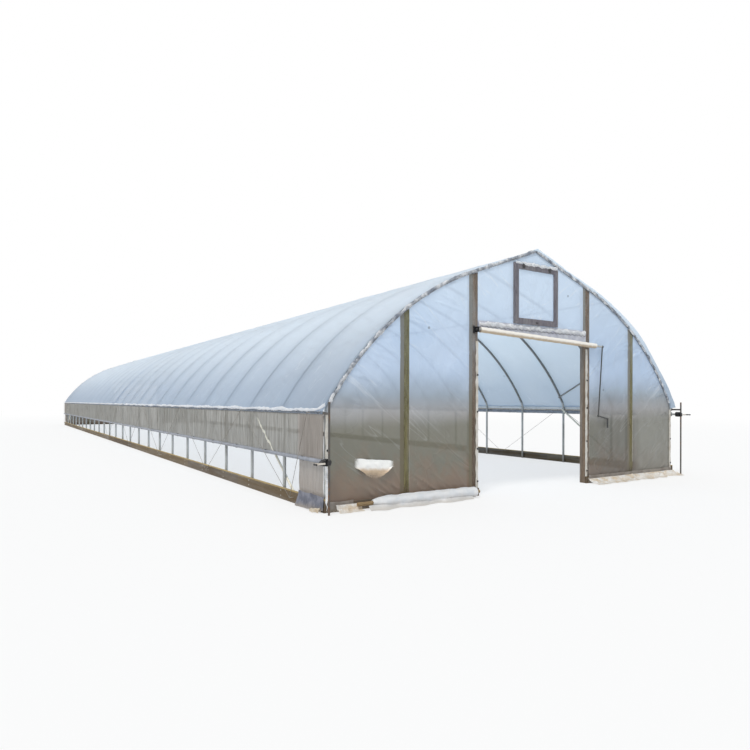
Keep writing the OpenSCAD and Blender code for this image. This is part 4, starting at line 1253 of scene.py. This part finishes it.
class GREENHOUSE_OT_doorway(PieceOperator, bpy.types.Operator):
    """Dress both doorways: film over the header, rolled door, gathered edge, brackets and wrapped battens"""

    bl_idname = "greenhouse.doorway"
    bl_label = "Doorways"
    zig_count = 56
    zig_rise = 0.013
    chamfer = 0.003
    batten_step = 0.04
    batten_round = 0.005
    bolt_size = 0.011
    screw_size = 0.018

    def door_film(self, end, seed):
        """Film that hangs from the header to the roll."""
        x = np.linspace(low("door_films").x, high("door_films").x, 130)
        X, V = np.meshgrid(x, np.linspace(0, 1, 16))
        foot = DOOR_ROLL_Z - (X + DOOR_ROLL_START) * math.tan(DOOR_ROLL_TILT)
        top = high("door_films").z
        Z = foot + V * (top - foot)
        wave = 0.6 * pleats(seed, X + 0.05 * V, 0.16) + 0.4 * ripple(seed + 1, X, Z, 0.2)
        slack = np.clip(0.004 + 0.006 * rising(1 - V, 0.3) * wave, 0.0, 0.02)
        Y = out_y(end, FILM_FACE + FILM_T / 2 + slack)
        strip = layered_film("header_film", (0.56, 0.57, 0.66), (0.70, 0.72, 0.78))
        obj = sheet_piece(f"door_film_{end}", X, Y, Z, strip)
        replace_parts(obj, "door_films")

    def gathered_edge(self, end, seed):
        """Gathered film on the header, and the zigzag wire that locks it."""
        x = np.linspace(-DOOR_HALF + 0.01, DOOR_HALF - 0.01, 240)
        flat = np.zeros_like(x)
        face = FILM_FACE + FILM_T
        base = np.stack([x, flat + out_y(end, face + 0.002), flat + HEADER_TOP - 0.055], 1)
        bunch(f"header_bunch_{end}", base, (0, ENDS[end][1], 0), UP, x, white_film(),
              width=0.085, depth=0.03, wave=0.16, seed=seed)
        turns = np.linspace(-DOOR_HALF + 0.02, DOOR_HALF - 0.02, self.zig_count)
        y, z = out_y(end, face + 0.026), HEADER_TOP - 0.112
        wire = Shapes()
        wire.tube([(px, y, z + (self.zig_rise if k % 2 else -self.zig_rise)) for k, px in enumerate(turns)],
                  radius=0.004, sides=6)
        wire.piece(f"header_wire_{end}", dark_wire(), "pole_metal")

    def roll_finish(self, n, shader):
        """Pale above, with painted shade in tan on the underside, along the tilted roll."""
        place = n.place()
        x, _, z = n.split(place)
        drop = n.times(n.plus(x, DOOR_ROLL_START), math.tan(DOOR_ROLL_TILT))
        level = n.plus(n.minus(z, DOOR_ROLL_Z), drop)
        # Painted shade: the underside of the roll, below its tilted axis, turns tan.
        under = n.ramp(n.plus(level, n.times(n.noise(place, 12.0), 0.03)), -0.022, 0.02, 1.0, 0.0)
        tone = n.mix(under, tuple(look().film.door_roll), (0.52, 0.40, 0.27))
        fine = group(n, "crease", vector=place, scale=10.0)
        # Painted highlights along the creases.
        feed(n, shader, base_color=n.mix(n.times(fine["Line"], 0.4), tone, (0.97, 0.96, 0.93)), roughness=0.42)
        bump(n, shader, fine["Height"], 0.4, 0.003)

    def door_roll(self, end, seed):
        """Rolled-up door film, a little lower at its crank."""
        finish = material("door_roll_film", self.roll_finish)
        axis = (math.cos(DOOR_ROLL_TILT), 0, -math.sin(DOOR_ROLL_TILT))
        start = (-DOOR_ROLL_START, out_y(end, DOOR_ROLL_OUT), DOOR_ROLL_Z)
        obj = roll_skin(f"door_roll_{end}", start, axis, DOOR_ROLL_L, DOOR_ROLL_R, seed, finish, "rolled_film",
                        step=0.02, sides=24, twist=5.0)
        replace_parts(obj, "door_rolls")

    def bracket(self, end):
        """Bracket that carries the left end of the door roll."""
        made = Shapes()
        x = -DOOR_ROLL_START - 0.05
        wall, z = FILM_FACE + 0.001, DOOR_ROLL_Z
        made.box((x - 0.02, out_y(end, wall), z - 0.05),
                 (x - 0.008, out_y(end, DOOR_ROLL_OUT + 0.045), z + 0.05), self.chamfer)
        made.box((x - 0.07, out_y(end, wall), z - 0.07),
                 (x - 0.0215, out_y(end, wall + 0.01), z + 0.07), self.chamfer)
        for dz in (-0.045, 0.045):
            made.bolt((x - 0.045, out_y(end, wall + 0.0105), z + dz), (0, ENDS[end][1], 0), self.bolt_size)
        made.turned((x - 0.022, out_y(end, DOOR_ROLL_OUT), z), (-1, 0, 0),
                    [(0, 0.026), (0.012, 0.026), (0.02, 0.02), (0.03, 0.012)], 16)
        made.piece(f"door_bracket_{end}", black_plastic(), "black_plastic")

    def wrapped(self, end, side, x0, x1, top, draw):
        """Rings of the film round one upright batten."""
        c = self.batten_round
        z = np.linspace(END_BOARD_H + 0.001, top, int((top - END_BOARD_H) / self.batten_step))
        edges = pleats(draw.randrange(999), z, 0.3)
        fats = pleats(draw.randrange(999), z, 0.18)
        rings = []
        for level, edge, fat in zip(z, edges, fats):
            a, b = x0 - 0.002 * edge, x1 + 0.006 + 0.006 * edge
            o0, o1 = FILM_FACE + 0.0006, FILM_FACE + BATTEN_T + 0.002 * fat
            section = [(a, o0), (a, o1 - c), (a + c, o1), ((a + b) / 2, o1 + 0.001), (b - c, o1), (b, o1 - c),
                       (b + 0.002 * fat, o0 + 0.002), (b - 0.004, o0)]
            rings.append([(side * x, out_y(end, out), level) for x, out in section])
        return rings

    def battens(self):
        """Film wrapped round the battens on jambs and corners, with screw heads."""
        made, heads = Shapes(), Shapes()
        draw = random.Random(41)
        face = FILM_FACE + BATTEN_T + 0.0035
        corner = HALF + FILM_LAP
        for end, (_, way) in ENDS.items():
            for side in SIDES.values():
                for x0, x1, top in ((DOOR_HALF, DOOR_HALF + BATTEN_W, BATTEN_TOP),
                                    (corner - BATTEN_W, corner, ARCH.leg)):
                    made.rings(self.wrapped(end, side, x0, x1, top, draw))
                    z = END_BOARD_H + 0.12
                    while z < top - 0.06:
                        x = side * ((x0 + x1) / 2 + draw.uniform(-0.004, 0.004))
                        heads.screw((x, out_y(end, face), z), (0, way, 0), self.screw_size)
                        z += draw.uniform(0.55, 0.75)
        finish = layered_film("batten_film", (0.80, 0.78, 0.73), (0.64, 0.59, 0.51))
        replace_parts(made.piece("wrapped_battens", finish, "white_film"), "film_battens")
        heads.piece("batten_screws", black_plastic(), "black_plastic")

    def execute(self, context):
        for k, end in enumerate(ENDS):
            self.door_film(end, 400 + k)
            self.gathered_edge(end, 410 + 10 * k)
            self.door_roll(end, 430 + 10 * k)
            self.bracket(end)
        self.battens()
        return {"FINISHED"}


class GREENHOUSE_OT_vents(PieceOperator, bpy.types.Operator):
    """Stretch a film pane in each gable vent, and add its hinges, catch and gathered top edge"""

    bl_idname = "greenhouse.vents"
    bl_label = "Vents"
    points = 56
    hinge_x = 0.36
    leaf = 0.04
    leaf_edge = 0.0015
    hinge_screw = 0.005
    frame_screw = 0.007

    def pane(self, end, seed):
        """Film in the vent's frame."""
        x = np.linspace(low("vent_panes").x, high("vent_panes").x, self.points)
        z = np.linspace(low("vent_panes").z, high("vent_panes").z, self.points)
        X, Z = np.meshgrid(x, z)
        draw = random.Random(seed).uniform
        lines = [(draw(-0.4, 0.4), draw(z[0], z[-1]), draw(0.4, 2.4), draw(0.2, 0.7),
                  draw(0.006, 0.012), draw(0.003, 0.008)) for _ in range(16)]
        edge = np.minimum(np.minimum(X - x[0], x[-1] - X), np.minimum(Z - z[0], z[-1] - Z))
        off = rising(edge, 0.06) * (0.004 * ripple(seed + 1, X, Z, 0.35) + creases(X, Z, lines))
        way = ENDS[end][1]
        Y = outer_y("vent_panes", end) - way * FILM_T / 2 + way * np.clip(off, -0.012, 0.014)
        obj = sheet_piece(f"vent_pane_{end}", X, Y, Z, end_film())
        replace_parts(obj, "vent_panes")

    def fittings(self, end, seed):
        """Two hinges with screws, frame screws, a catch, and the gathered film along the top."""
        way = ENDS[end][1]
        out = (0, way, 0)
        face = outer_y("vent_frames", end)
        made = Shapes()
        for x in (-self.hinge_x, self.hinge_x):
            for foot in (VENT_TOP - 0.095, VENT_TOP - 0.045):
                made.box((x - 0.035, face + way * 0.0005, foot),
                         (x + 0.035, face + way * 0.0045, foot + self.leaf), self.leaf_edge)
                for dx in (-0.02, 0.02):
                    made.screw((x + dx, face + way * 0.0045, foot + self.leaf / 2), out, self.hinge_screw)
            made.turned((x - 0.036, face + way * 0.006, VENT_TOP - 0.0475), (1, 0, 0),
                        [(0, 0.0045), (0.002, 0.006), (0.070, 0.006), (0.072, 0.0045)], 10)
        for x in (-VENT_HALF + VENT_BAR / 2, VENT_HALF - VENT_BAR / 2):
            for z in (VENT_LOW + VENT_BAR / 2, VENT_TOP - VENT_BAR - 0.06, (VENT_LOW + VENT_TOP) / 2):
                made.screw((x, face + way * 0.0004, z), out, self.frame_screw)
        made.box((-0.03, face + way * 0.0005, VENT_LOW + 0.03),
                 (0.03, face + way * 0.012, VENT_LOW + 0.055), 0.003)
        made.piece(f"vent_fittings_{end}", dark_wire(), "crank_steel")
        x = np.linspace(-VENT_HALF + 0.02, VENT_HALF - 0.02, 110)
        flat = np.zeros_like(x)
        base = np.stack([x, flat + face + way * 0.001, flat + VENT_TOP + 0.004], 1)
        bunch(f"vent_bunch_{end}", base, out, UP, x, white_film(),
              width=0.06, depth=0.02, wave=0.13, seed=seed)

    def execute(self, context):
        for k, end in enumerate(ENDS):
            self.pane(end, 500 + 10 * k)
            self.fittings(end, 540 + 10 * k)
        return {"FINISHED"}


class GREENHOUSE_OT_edges(PieceOperator, bpy.types.Operator):
    """Gather the loose film along the channels of the hips and end arches, and set the wires that lock it"""

    bl_idname = "greenhouse.edges"
    bl_label = "Channel edges"
    hip_past = 0.05
    hip_lap = 0.06
    wire_step = 0.045
    wire_r = 0.0022

    def hip(self, side, end, seed):
        """Gathered film on half a hip channel, lifted where it meets the arch."""
        side_way = SIDES[side]
        plane, way = ENDS[end]
        y0, y1 = plane + way * self.hip_past, (FRONT + BACK) / 2 - way * self.hip_lap
        y = np.linspace(min(y0, y1), max(y0, y1), 760)
        lift = 0.09 * np.clip(1 - np.abs(y - y0) / 0.26, 0, 1) ** 1.5
        base = np.stack([side_way * (CHANNEL_X - 0.002 - 0.5 * lift), y, CHANNEL_TOP + 0.022 + lift], 1)
        bunch(f"hip_bunch_{side}_{end}", base, (side_way, 0, 0), UP, y, white_film(),
              width=0.055, depth=0.012, wave=0.5, seed=seed)

    def arch(self, side, end, seed):
        """Gathered film on half an end arch."""
        way = SIDES[side]
        s = np.linspace(0.02, ARCH.hip_s, 300)
        x, z = ARCH.at(way * s, 0.012)
        angle = ARCH.slope(s)
        flat = np.zeros_like(s)
        out = ENDS[end][1]
        base = np.stack([x, flat + outer_y("arch_channels", end) + out * 0.0005, z], 1)
        across = np.stack([way * np.sin(angle), flat, np.cos(angle)], 1)
        # Painted shade: dark blue-grey patches among the white gathered film along the arch.
        finish = layered_film("edge_film", (0.24, 0.27, 0.33), (0.93, 0.94, 0.95))
        bunch(f"arch_bunch_{side}_{end}", base, (0, out, 0), across, s, finish,
              width=0.058, depth=0.014, wave=0.14, seed=seed)

    def wires(self):
        """Zigzag wires in the hip and arch channels."""
        hip, arch = Shapes(), Shapes()
        middle = (CHANNEL_BOTTOM + CHANNEL_TOP) / 2
        for way in SIDES.values():
            steps = int((BACK - FRONT) / self.wire_step)
            hip.tube([(way * (CHANNEL_X + 0.0015), FRONT + 0.02 + k * self.wire_step,
                       middle + (0.009 if k % 2 else -0.009)) for k in range(steps)], self.wire_r, sides=5)
            for end, (_, out) in ENDS.items():
                y = outer_y("arch_channels", end) + out * 0.0025
                path = []
                for k, s in enumerate(np.arange(0.05, ARCH.hip_s, self.wire_step)):
                    x, z = ARCH.at(np.array(way * s), 0.010 if k % 2 else -0.010)
                    path.append((float(x), y, float(z)))
                arch.tube(path, self.wire_r, sides=5)
        hip.piece("hip_wires", dark_wire(), "pole_metal")
        arch.piece("arch_wires", dark_wire(), "pole_metal")

    def execute(self, context):
        for k, side in enumerate(SIDES):
            for j, end in enumerate(ENDS):
                self.hip(side, end, 600 + 20 * k + 10 * j)
                self.arch(side, end, 660 + 20 * k + 10 * j)
        self.wires()
        return {"FINISHED"}


class GREENHOUSE_OT_spare_film(PieceOperator, bpy.types.Operator):
    """Lay the spare film in front: roll on its core, apron, corner flap, loose strip and repair patch"""

    bl_idname = "greenhouse.spare_film"
    bl_label = "Spare film"
    bare_core = 0.16
    floor_gap = 0.004
    strip_width = 0.055
    strip_length = 0.80
    patch_left = -4.13
    patch_right = -3.34
    patch_mid = -3.735
    patch_top = 0.80
    patch_slope = 0.09

    def tail_roll(self):
        """Roll on its wooden core, and the loose edge that lies in front of it."""
        radius = (TAIL_HIGH.z - TAIL_LOW.z) / 2
        y = (TAIL_LOW.y + TAIL_HIGH.y) / 2
        length = TAIL_HIGH.x - TAIL_LOW.x - self.bare_core
        start = (TAIL_LOW.x + self.bare_core, y, TAIL_LOW.z + radius)
        obj = roll_skin("spare_roll", start, (1, 0, 0), length, radius, 701, white_film(), "white_film",
                        step=0.015, sides=56, rough=0.09, twist=4.0, taper=0.3)
        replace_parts(obj, "film_tail_roll")
        x = np.linspace(TAIL_LOW.x + 0.05, TAIL_HIGH.x - 0.12, 120)
        X, V = np.meshgrid(x, np.linspace(0, 1, 16))
        reach = np.clip(0.10 * (1 + 0.35 * pleats(703, x, 0.5)), 0.04, 0.17)
        waves = np.clip(0.010 * ripple(704, X, V * 0.2, 0.16), -0.004, 0.02) * np.sin(np.pi * V)
        Z = 0.006 + 0.07 * (1 - V) ** 3 + waves
        edge = sheet_piece("spare_roll_edge", X, y - radius * 0.72 - V * reach, Z, white_film())

    def ground_film(self, name, x0, x1, deep, tall, seed):
        """Loose film that lies crumpled on the ground in front of a baseboard."""
        x = np.linspace(x0, x1, max(40, int((x1 - x0) / 0.017)))
        X, V = np.meshgrid(x, np.linspace(0, 1, 26))
        edge = np.clip(1.1 + 0.16 * pleats(seed, x, 0.9) + 0.06 * pleats(seed + 1, x, 0.2), 0.7, 1.35)
        Y = APRON_HIGH.y - 0.014 - V * deep * edge
        crumple = 0.030 * ripple(seed + 2, X, V * 0.4, 0.24) + 0.012 * ripple(seed + 3, X, V * 0.3, 0.07)
        rise = np.clip(crumple, -0.004, 0.07) * np.sin(np.pi * V ** 0.7)
        Z = np.maximum(self.floor_gap + tall * (1 - V) ** 2 + rise, 0.003)
        sand = layered_film("sandy_film", (0.93, 0.92, 0.90), (0.72, 0.61, 0.47), soil=0.25)
        obj = sheet_piece(name, X, Y, Z, sand)
        return obj

    def apron(self):
        """Ground films right and left of the doorway."""
        deep = APRON_HIGH.y - APRON_LOW.y
        obj = self.ground_film("apron", APRON_LOW.x + 0.02, APRON_HIGH.x + 0.05, deep, 0.09, 711)
        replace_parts(obj, "film_apron")
        self.ground_film("apron_left", -HALF + 0.12, TAIL_LOW.x - 0.02, 0.15, 0.10, 716)

    def corner_flap(self):
        """Film hung over the side baseboard at the near corner, dark blue-grey as painted shade."""
        y = np.linspace(low("side_baseboards").y - 0.012, FRONT + PANEL_L - 0.06, 60)
        Y, V = np.meshgrid(y, np.linspace(0, 1, 24))
        share = (Y - y[0]) / (y[-1] - y[0])
        top = BOARD_H + 0.045 + 0.006 * pleats(721, Y, 0.4)
        foot = 0.006 + 0.035 * (1 - share) ** 2
        Z = top + (foot - top) * V
        fold = np.clip(0.012 * pleats(722, Y + 0.08 * V, 0.3) + 0.004 * ripple(723, Y, Z, 0.1), -0.004, 0.024)
        X = -(SIDE_X + BOARD_T + 0.016 + 0.05 * V ** 1.6 * (0.4 + share) + fold * V)
        # Painted shade: the flap is dark blue-grey, for white film in shadow.
        dark = layered_film("shaded_flap_film", (0.11, 0.12, 0.165), (0.27, 0.28, 0.34))
        obj = sheet_piece("corner_flap", X, Y, Z, dark)

    def corner_fold(self):
        """Cream fold of film on the ground beside the flap."""
        W, U = np.meshgrid(np.linspace(0, 1, 14), np.linspace(0, 1, 26), indexing="ij")
        out = SIDE_X + BOARD_T + 0.03 + 0.10 * W * (0.5 + 0.5 * np.sin(np.pi * U))
        rise = 0.008 + 0.07 * np.sin(np.pi * W) * (1 - 0.6 * U) + 0.008 * pleats(724, U + 0.3 * W, 0.25) * W
        cream = layered_film("cream_fold_film", (0.88, 0.82, 0.70), (0.62, 0.50, 0.36))
        obj = sheet_piece("corner_fold", -out, FRONT - 0.03 + 0.30 * U, np.maximum(rise, self.floor_gap), cream)

    def strip(self):
        """Twisted strip of film that hangs from the gearbox."""
        V, U = np.meshgrid(np.linspace(0, 1, 60), np.linspace(-0.5, 0.5, 5), indexing="ij")
        sway = 0.05 * np.sin(5.2 * V + 0.4) * V + 0.02 * pleats(731, V, 0.3)
        turn = 1.1 * np.sin(4.0 * V)
        aside = U * self.strip_width
        X = -(HALF + 0.055) + sway * 0.5 + aside * np.sin(turn) * 0.6
        Y = FRONT - 0.10 - 0.06 * V + sway * 0.4 - aside * np.cos(turn)
        obj = sheet_piece("loose_strip", X, Y, 0.76 - 0.74 * V, white_film())

    def patch_finish(self, n, shader):
        """White above and sandy below, with soft ragged edges."""
        place = n.place()
        x, _, z = n.split(place)
        fine = group(n, "crease", vector=place, scale=9.0)
        level = n.plus(z, n.times(x, self.patch_slope))
        edge = n.plus(level, n.times(n.noise(place, 11.0), 0.06))
        start = self.patch_top + self.patch_slope * self.patch_left - 0.125
        sandy = n.ramp(edge, start - 0.03, start + 0.04, 1.0, 0.0)
        ragged = n.plus(n.apart(x, self.patch_mid), n.times(n.noise(place, 7.0), 0.12))
        sides = n.ramp(ragged, 0.34, 0.45, 1.0, 0.0)
        feed(n, shader, base_color=n.mix(sandy, (0.97, 0.97, 0.95), (0.60, 0.46, 0.32)), roughness=0.4,
             alpha=n.times(sides, n.ramp(edge, start - 0.17, start, 0.0, 1.0)))
        bump(n, shader, fine["Height"], 0.35, 0.003)

    def patch(self):
        """Loose repair patch on the left end film, curled at its foot."""
        x = np.linspace(self.patch_left, self.patch_right, 60)
        X, V = np.meshgrid(x, np.linspace(0, 1, 34))
        share = (x - x[0]) / (x[-1] - x[0])
        top = self.patch_top - self.patch_slope * (x - x[0]) + 0.006 * pleats(741, x, 0.3)
        belly = np.sin(np.pi * np.clip(share * 1.02 - 0.02, 0, 1)) ** 1.3
        foot = 0.64 - 0.20 * belly + 0.006 * pleats(742, x, 0.2)
        Z = top + (foot - top) * V
        curl = rising(V - 0.7, 0.3)
        out = FILM_FACE + 0.036 + np.clip(0.005 * ripple(743, X, Z, 0.14), -0.003, 0.012) + 0.04 * curl ** 1.6
        finish = material("patch_film", self.patch_finish)
        obj = sheet_piece("repair_patch", X, out_y("front", out), Z + 0.03 * curl ** 3, finish)

    def foot_film(self, name, end, x0, x1, seed):
        """Film turned down over an end baseboard."""
        x = np.linspace(x0, x1, max(16, int((x1 - x0) / 0.025)))
        X, V = np.meshgrid(x, np.linspace(0, 1, 12))
        top = END_BOARD_H + 0.02 + 0.004 * pleats(seed, X, 0.7)
        Z = np.maximum(top * (1 - V), self.floor_gap)
        wave = 0.006 * pleats(seed + 1, X + 0.06 * V, 0.2) + 0.004 * ripple(seed + 2, X, Z, 0.1)
        Y = out_y(end, FILM_FACE + END_BOARD_T + 0.0075 + np.clip(wave, -0.001, 0.012) * V)
        veil = layered_film("foot_film", (0.40, 0.35, 0.31), (0.58, 0.54, 0.50), 0.6)
        obj = sheet_piece(name, X, Y, Z, veil)

    def execute(self, context):
        self.tail_roll()
        self.apron()
        self.corner_flap()
        self.corner_fold()
        self.strip()
        self.patch()
        inner, outer = DOOR_HALF + 0.06, HALF - 0.01
        self.foot_film("foot_film_left_front", "front", -outer, TAIL_LOW.x - 0.13, 751)
        self.foot_film("foot_film_right_front", "front", inner, outer, 755)
        self.foot_film("foot_film_left_back", "back", -outer, -inner, 759)
        self.foot_film("foot_film_right_back", "back", inner, outer, 763)
        return {"FINISHED"}


class GREENHOUSE_OT_fasteners(PieceOperator, bpy.types.Operator):
    """Add collars, bolts, screws and plates where tubes, boards and posts meet"""

    bl_idname = "greenhouse.fasteners"
    bl_label = "Fasteners"
    collar_off = 0.042
    collar_half = 0.012
    bolt_levels = (0.3, 0.75)
    end_bolts = (1.56, 2.3, 3.08, 3.8, 4.45)
    collar_bolt = 0.007
    side_bolt = 0.012
    end_bolt = 0.010
    rail_screw = 0.006
    plate_bolt = 0.008
    plate_edge = 0.0015
    plate_width = 0.05

    def collars(self):
        """Collars with a bolt on the purlins, both sides of each bow."""
        made = Shapes()
        for node in ("ridge_purlin", "side_purlins"):
            a, b = low(node), high(node)
            r = (b.z - a.z) / 2
            profile = [(0, r + 0.0006), (0, r + 0.004), (2 * self.collar_half, r + 0.004),
                       (2 * self.collar_half, r + 0.0006)]
            for x in [0.0] if node == "ridge_purlin" else [a.x + r, b.x - r]:
                for k in range(BAYS + 1):
                    for off in (-self.collar_off, self.collar_off):
                        y = FRONT + k * BAY + off
                        if a.y + 0.02 < y < b.y - 0.02:
                            made.turned((x, y - self.collar_half, a.z + r), (0, 1, 0), profile, 14)
                            made.bolt((x, y, a.z - 0.003), (0, 0, -1), self.collar_bolt)
        made.piece("purlin_collars", plain_steel(), "crank_steel")

    def board_bolts(self):
        """Bolts through the side and end baseboards."""
        made = Shapes()
        for way in SIDES.values():
            for k in range(BAYS + 1):
                y = min(max(FRONT + k * BAY, FRONT + 0.03), BACK - 0.03)
                for level in self.bolt_levels:
                    made.bolt((way * (SIDE_X + BOARD_T), y, level * BOARD_H), (way, 0, 0), self.side_bolt)
        for end, (_, way) in ENDS.items():
            y = out_y(end, FILM_FACE + END_BOARD_T)
            for x in self.end_bolts:
                for side in SIDES.values():
                    for level in self.bolt_levels:
                        made.bolt((side * x, y, level * END_BOARD_H), (0, way, 0), self.end_bolt)
        made.piece("board_bolts", plain_steel(), "crank_steel")

    def rail_screws(self):
        """Screws along the hip rails."""
        made = Shapes()
        for way in SIDES.values():
            y = FRONT + 0.15
            while y < BACK - 0.1:
                made.screw((way * RAIL_X, y, RAIL_BOTTOM + 0.010), (way, 0, 0), self.rail_screw)
                y += BAY / 3
        made.piece("rail_screws", plain_steel(), "crank_steel")

    def header_plates(self):
        """Angle plates inside, where the header meets the door posts."""
        made = Shapes()
        for side in SIDES.values():
            for end, (_, way) in ENDS.items():
                y = out_y(end, ON_BOW - 0.1)
                for near, far, head, foot in ((0.002, 0.12, 0.0005, 0.006), (0.0005, 0.0065, 0.007, 0.13)):
                    made.box((side * (DOOR_HALF - far), y, DOOR_H - foot),
                             (side * (DOOR_HALF - near), y + way * self.plate_width, DOOR_H - head),
                             self.plate_edge)
                for z in (DOOR_H - 0.05, DOOR_H - 0.1):
                    made.bolt((side * (DOOR_HALF - 0.0066), y + way * self.plate_width / 2, z), (-side, 0, 0),
                              self.plate_bolt)
        made.piece("header_plates", plain_steel(), "crank_steel")

    def execute(self, context):
        self.collars()
        self.board_bolts()
        self.rail_screws()
        self.header_plates()
        return {"FINISHED"}


class GREENHOUSE_OT_stage(PieceOperator, bpy.types.Operator):
    """Set the floor, the broad key light, the even fill and the camera"""

    bl_idname = "greenhouse.stage"
    bl_label = "Stage"
    floor_reach = 220.0
    floor_z = -0.002
    key_from = (-0.42, -0.30, 0.86)
    key_spread = math.radians(14)
    sensor = 36.0
    view_reach = 600.0

    def floor_finish(self, n, shader):
        """Pale floor that fades to plain white away from the house."""
        x, y, _ = n.split(n.place())
        far = n.math("SQRT", n.plus(n.times(x, x), n.times(y, y)))
        feed(n, shader, base_color=(0.86, 0.86, 0.86), roughness=0.9)
        white = n.add("ShaderNodeEmission", {"Color": (1.0, 1.0, 1.0), "Strength": 1.0})
        return n.blend(n.times(n.seen(), n.ramp(far, 16.0, 60.0, 0.62, 1.0)), shader, white)

    def studio(self, scene, strength):
        """Even light from all round, plain white where it is seen."""
        world = bpy.data.worlds.new("studio")
        world.use_nodes = True
        world.node_tree.nodes.clear()
        n = Nodes(world.node_tree)
        fill = n.add("ShaderNodeBackground", {"Color": (0.90, 0.95, 1.0), "Strength": strength})
        white = n.add("ShaderNodeBackground", {"Color": (1.0, 1.0, 1.0), "Strength": 1.0})
        n.add("ShaderNodeOutputWorld", {"Surface": n.blend(n.seen(), fill, white)})
        scene.world = world

    def floor(self, scene):
        """Wide flat floor under the house."""
        r, z = self.floor_reach, self.floor_z
        mesh = bpy.data.meshes.new("floor")
        mesh.from_pydata([(-r, -r, z), (r, -r, z), (r, r, z), (-r, r, z)], [], [(0, 1, 2, 3)])
        mesh.materials.append(material("floor_white", self.floor_finish))
        floor = bpy.data.objects.new("floor", mesh)
        scene.collection.objects.link(floor)

    def key(self, scene, strength):
        """Broad key light from the left."""
        lamp = bpy.data.lights.new("key", "SUN")
        lamp.energy = strength
        lamp.angle = self.key_spread
        lamp.color = (1.0, 0.97, 0.92)
        key = bpy.data.objects.new("key", lamp)
        key.rotation_euler = Vector(self.key_from).to_track_quat("Z", "Y").to_euler()
        scene.collection.objects.link(key)

    def camera(self, scene, stage):
        """Camera at the photo's angle."""
        data = bpy.data.cameras.new("camera")
        data.sensor_fit = "HORIZONTAL"
        data.sensor_width = self.sensor
        data.lens = stage.lens
        data.shift_y = stage.shift
        data.clip_end = self.view_reach
        camera = bpy.data.objects.new("camera", data)
        turn = (Matrix.Rotation(-stage.turn, 4, "Z") @ Matrix.Rotation(math.pi / 2, 4, "X")
                @ Matrix.Rotation(stage.roll, 4, "Z"))
        camera.matrix_world = Matrix.Translation(Vector(stage.eye)) @ turn
        scene.collection.objects.link(camera)
        scene.camera = camera

    def execute(self, context):
        stage, scene = look().stage, context.scene
        scene.view_settings.view_transform = "Standard"
        self.studio(scene, stage.sky)
        self.floor(scene)
        self.key(scene, stage.sun)
        self.camera(scene, stage)
        return {"FINISHED"}


OPERATORS = (GREENHOUSE_OT_stage, GREENHOUSE_OT_frame, GREENHOUSE_OT_cover, GREENHOUSE_OT_end_films,
             GREENHOUSE_OT_curtains, GREENHOUSE_OT_doorway, GREENHOUSE_OT_vents, GREENHOUSE_OT_edges,
             GREENHOUSE_OT_spare_film, GREENHOUSE_OT_fasteners)


class GREENHOUSE_PT_pieces(bpy.types.Panel):
    """Lists the operators and the values they read"""

    bl_label = "Greenhouse"
    bl_idname = "GREENHOUSE_PT_pieces"
    bl_space_type = "VIEW_3D"
    bl_region_type = "UI"
    bl_category = "Greenhouse"

    def draw(self, context):
        for part in (look().film, look().parts, look().stage):
            box = self.layout.box()
            for key in part.bl_rna.properties.keys():
                if key not in ("rna_type", "name"):
                    box.prop(part, key)
        for operator in OPERATORS:
            self.layout.operator(operator.bl_idname)


CLASSES = (FilmLook, FrameLook, StageLook, Greenhouse, *OPERATORS, GREENHOUSE_PT_pieces)


def register():
    for cls in CLASSES:
        bpy.utils.register_class(cls)
    bpy.types.Scene.greenhouse = PointerProperty(type=Greenhouse)


def unregister():
    del bpy.types.Scene.greenhouse
    for cls in reversed(CLASSES):
        bpy.utils.unregister_class(cls)


def main():
    register()
    for operator in OPERATORS:
        family, name = operator.bl_idname.split(".")
        getattr(getattr(bpy.ops, family), name)()


if __name__ == "__main__":
    main()
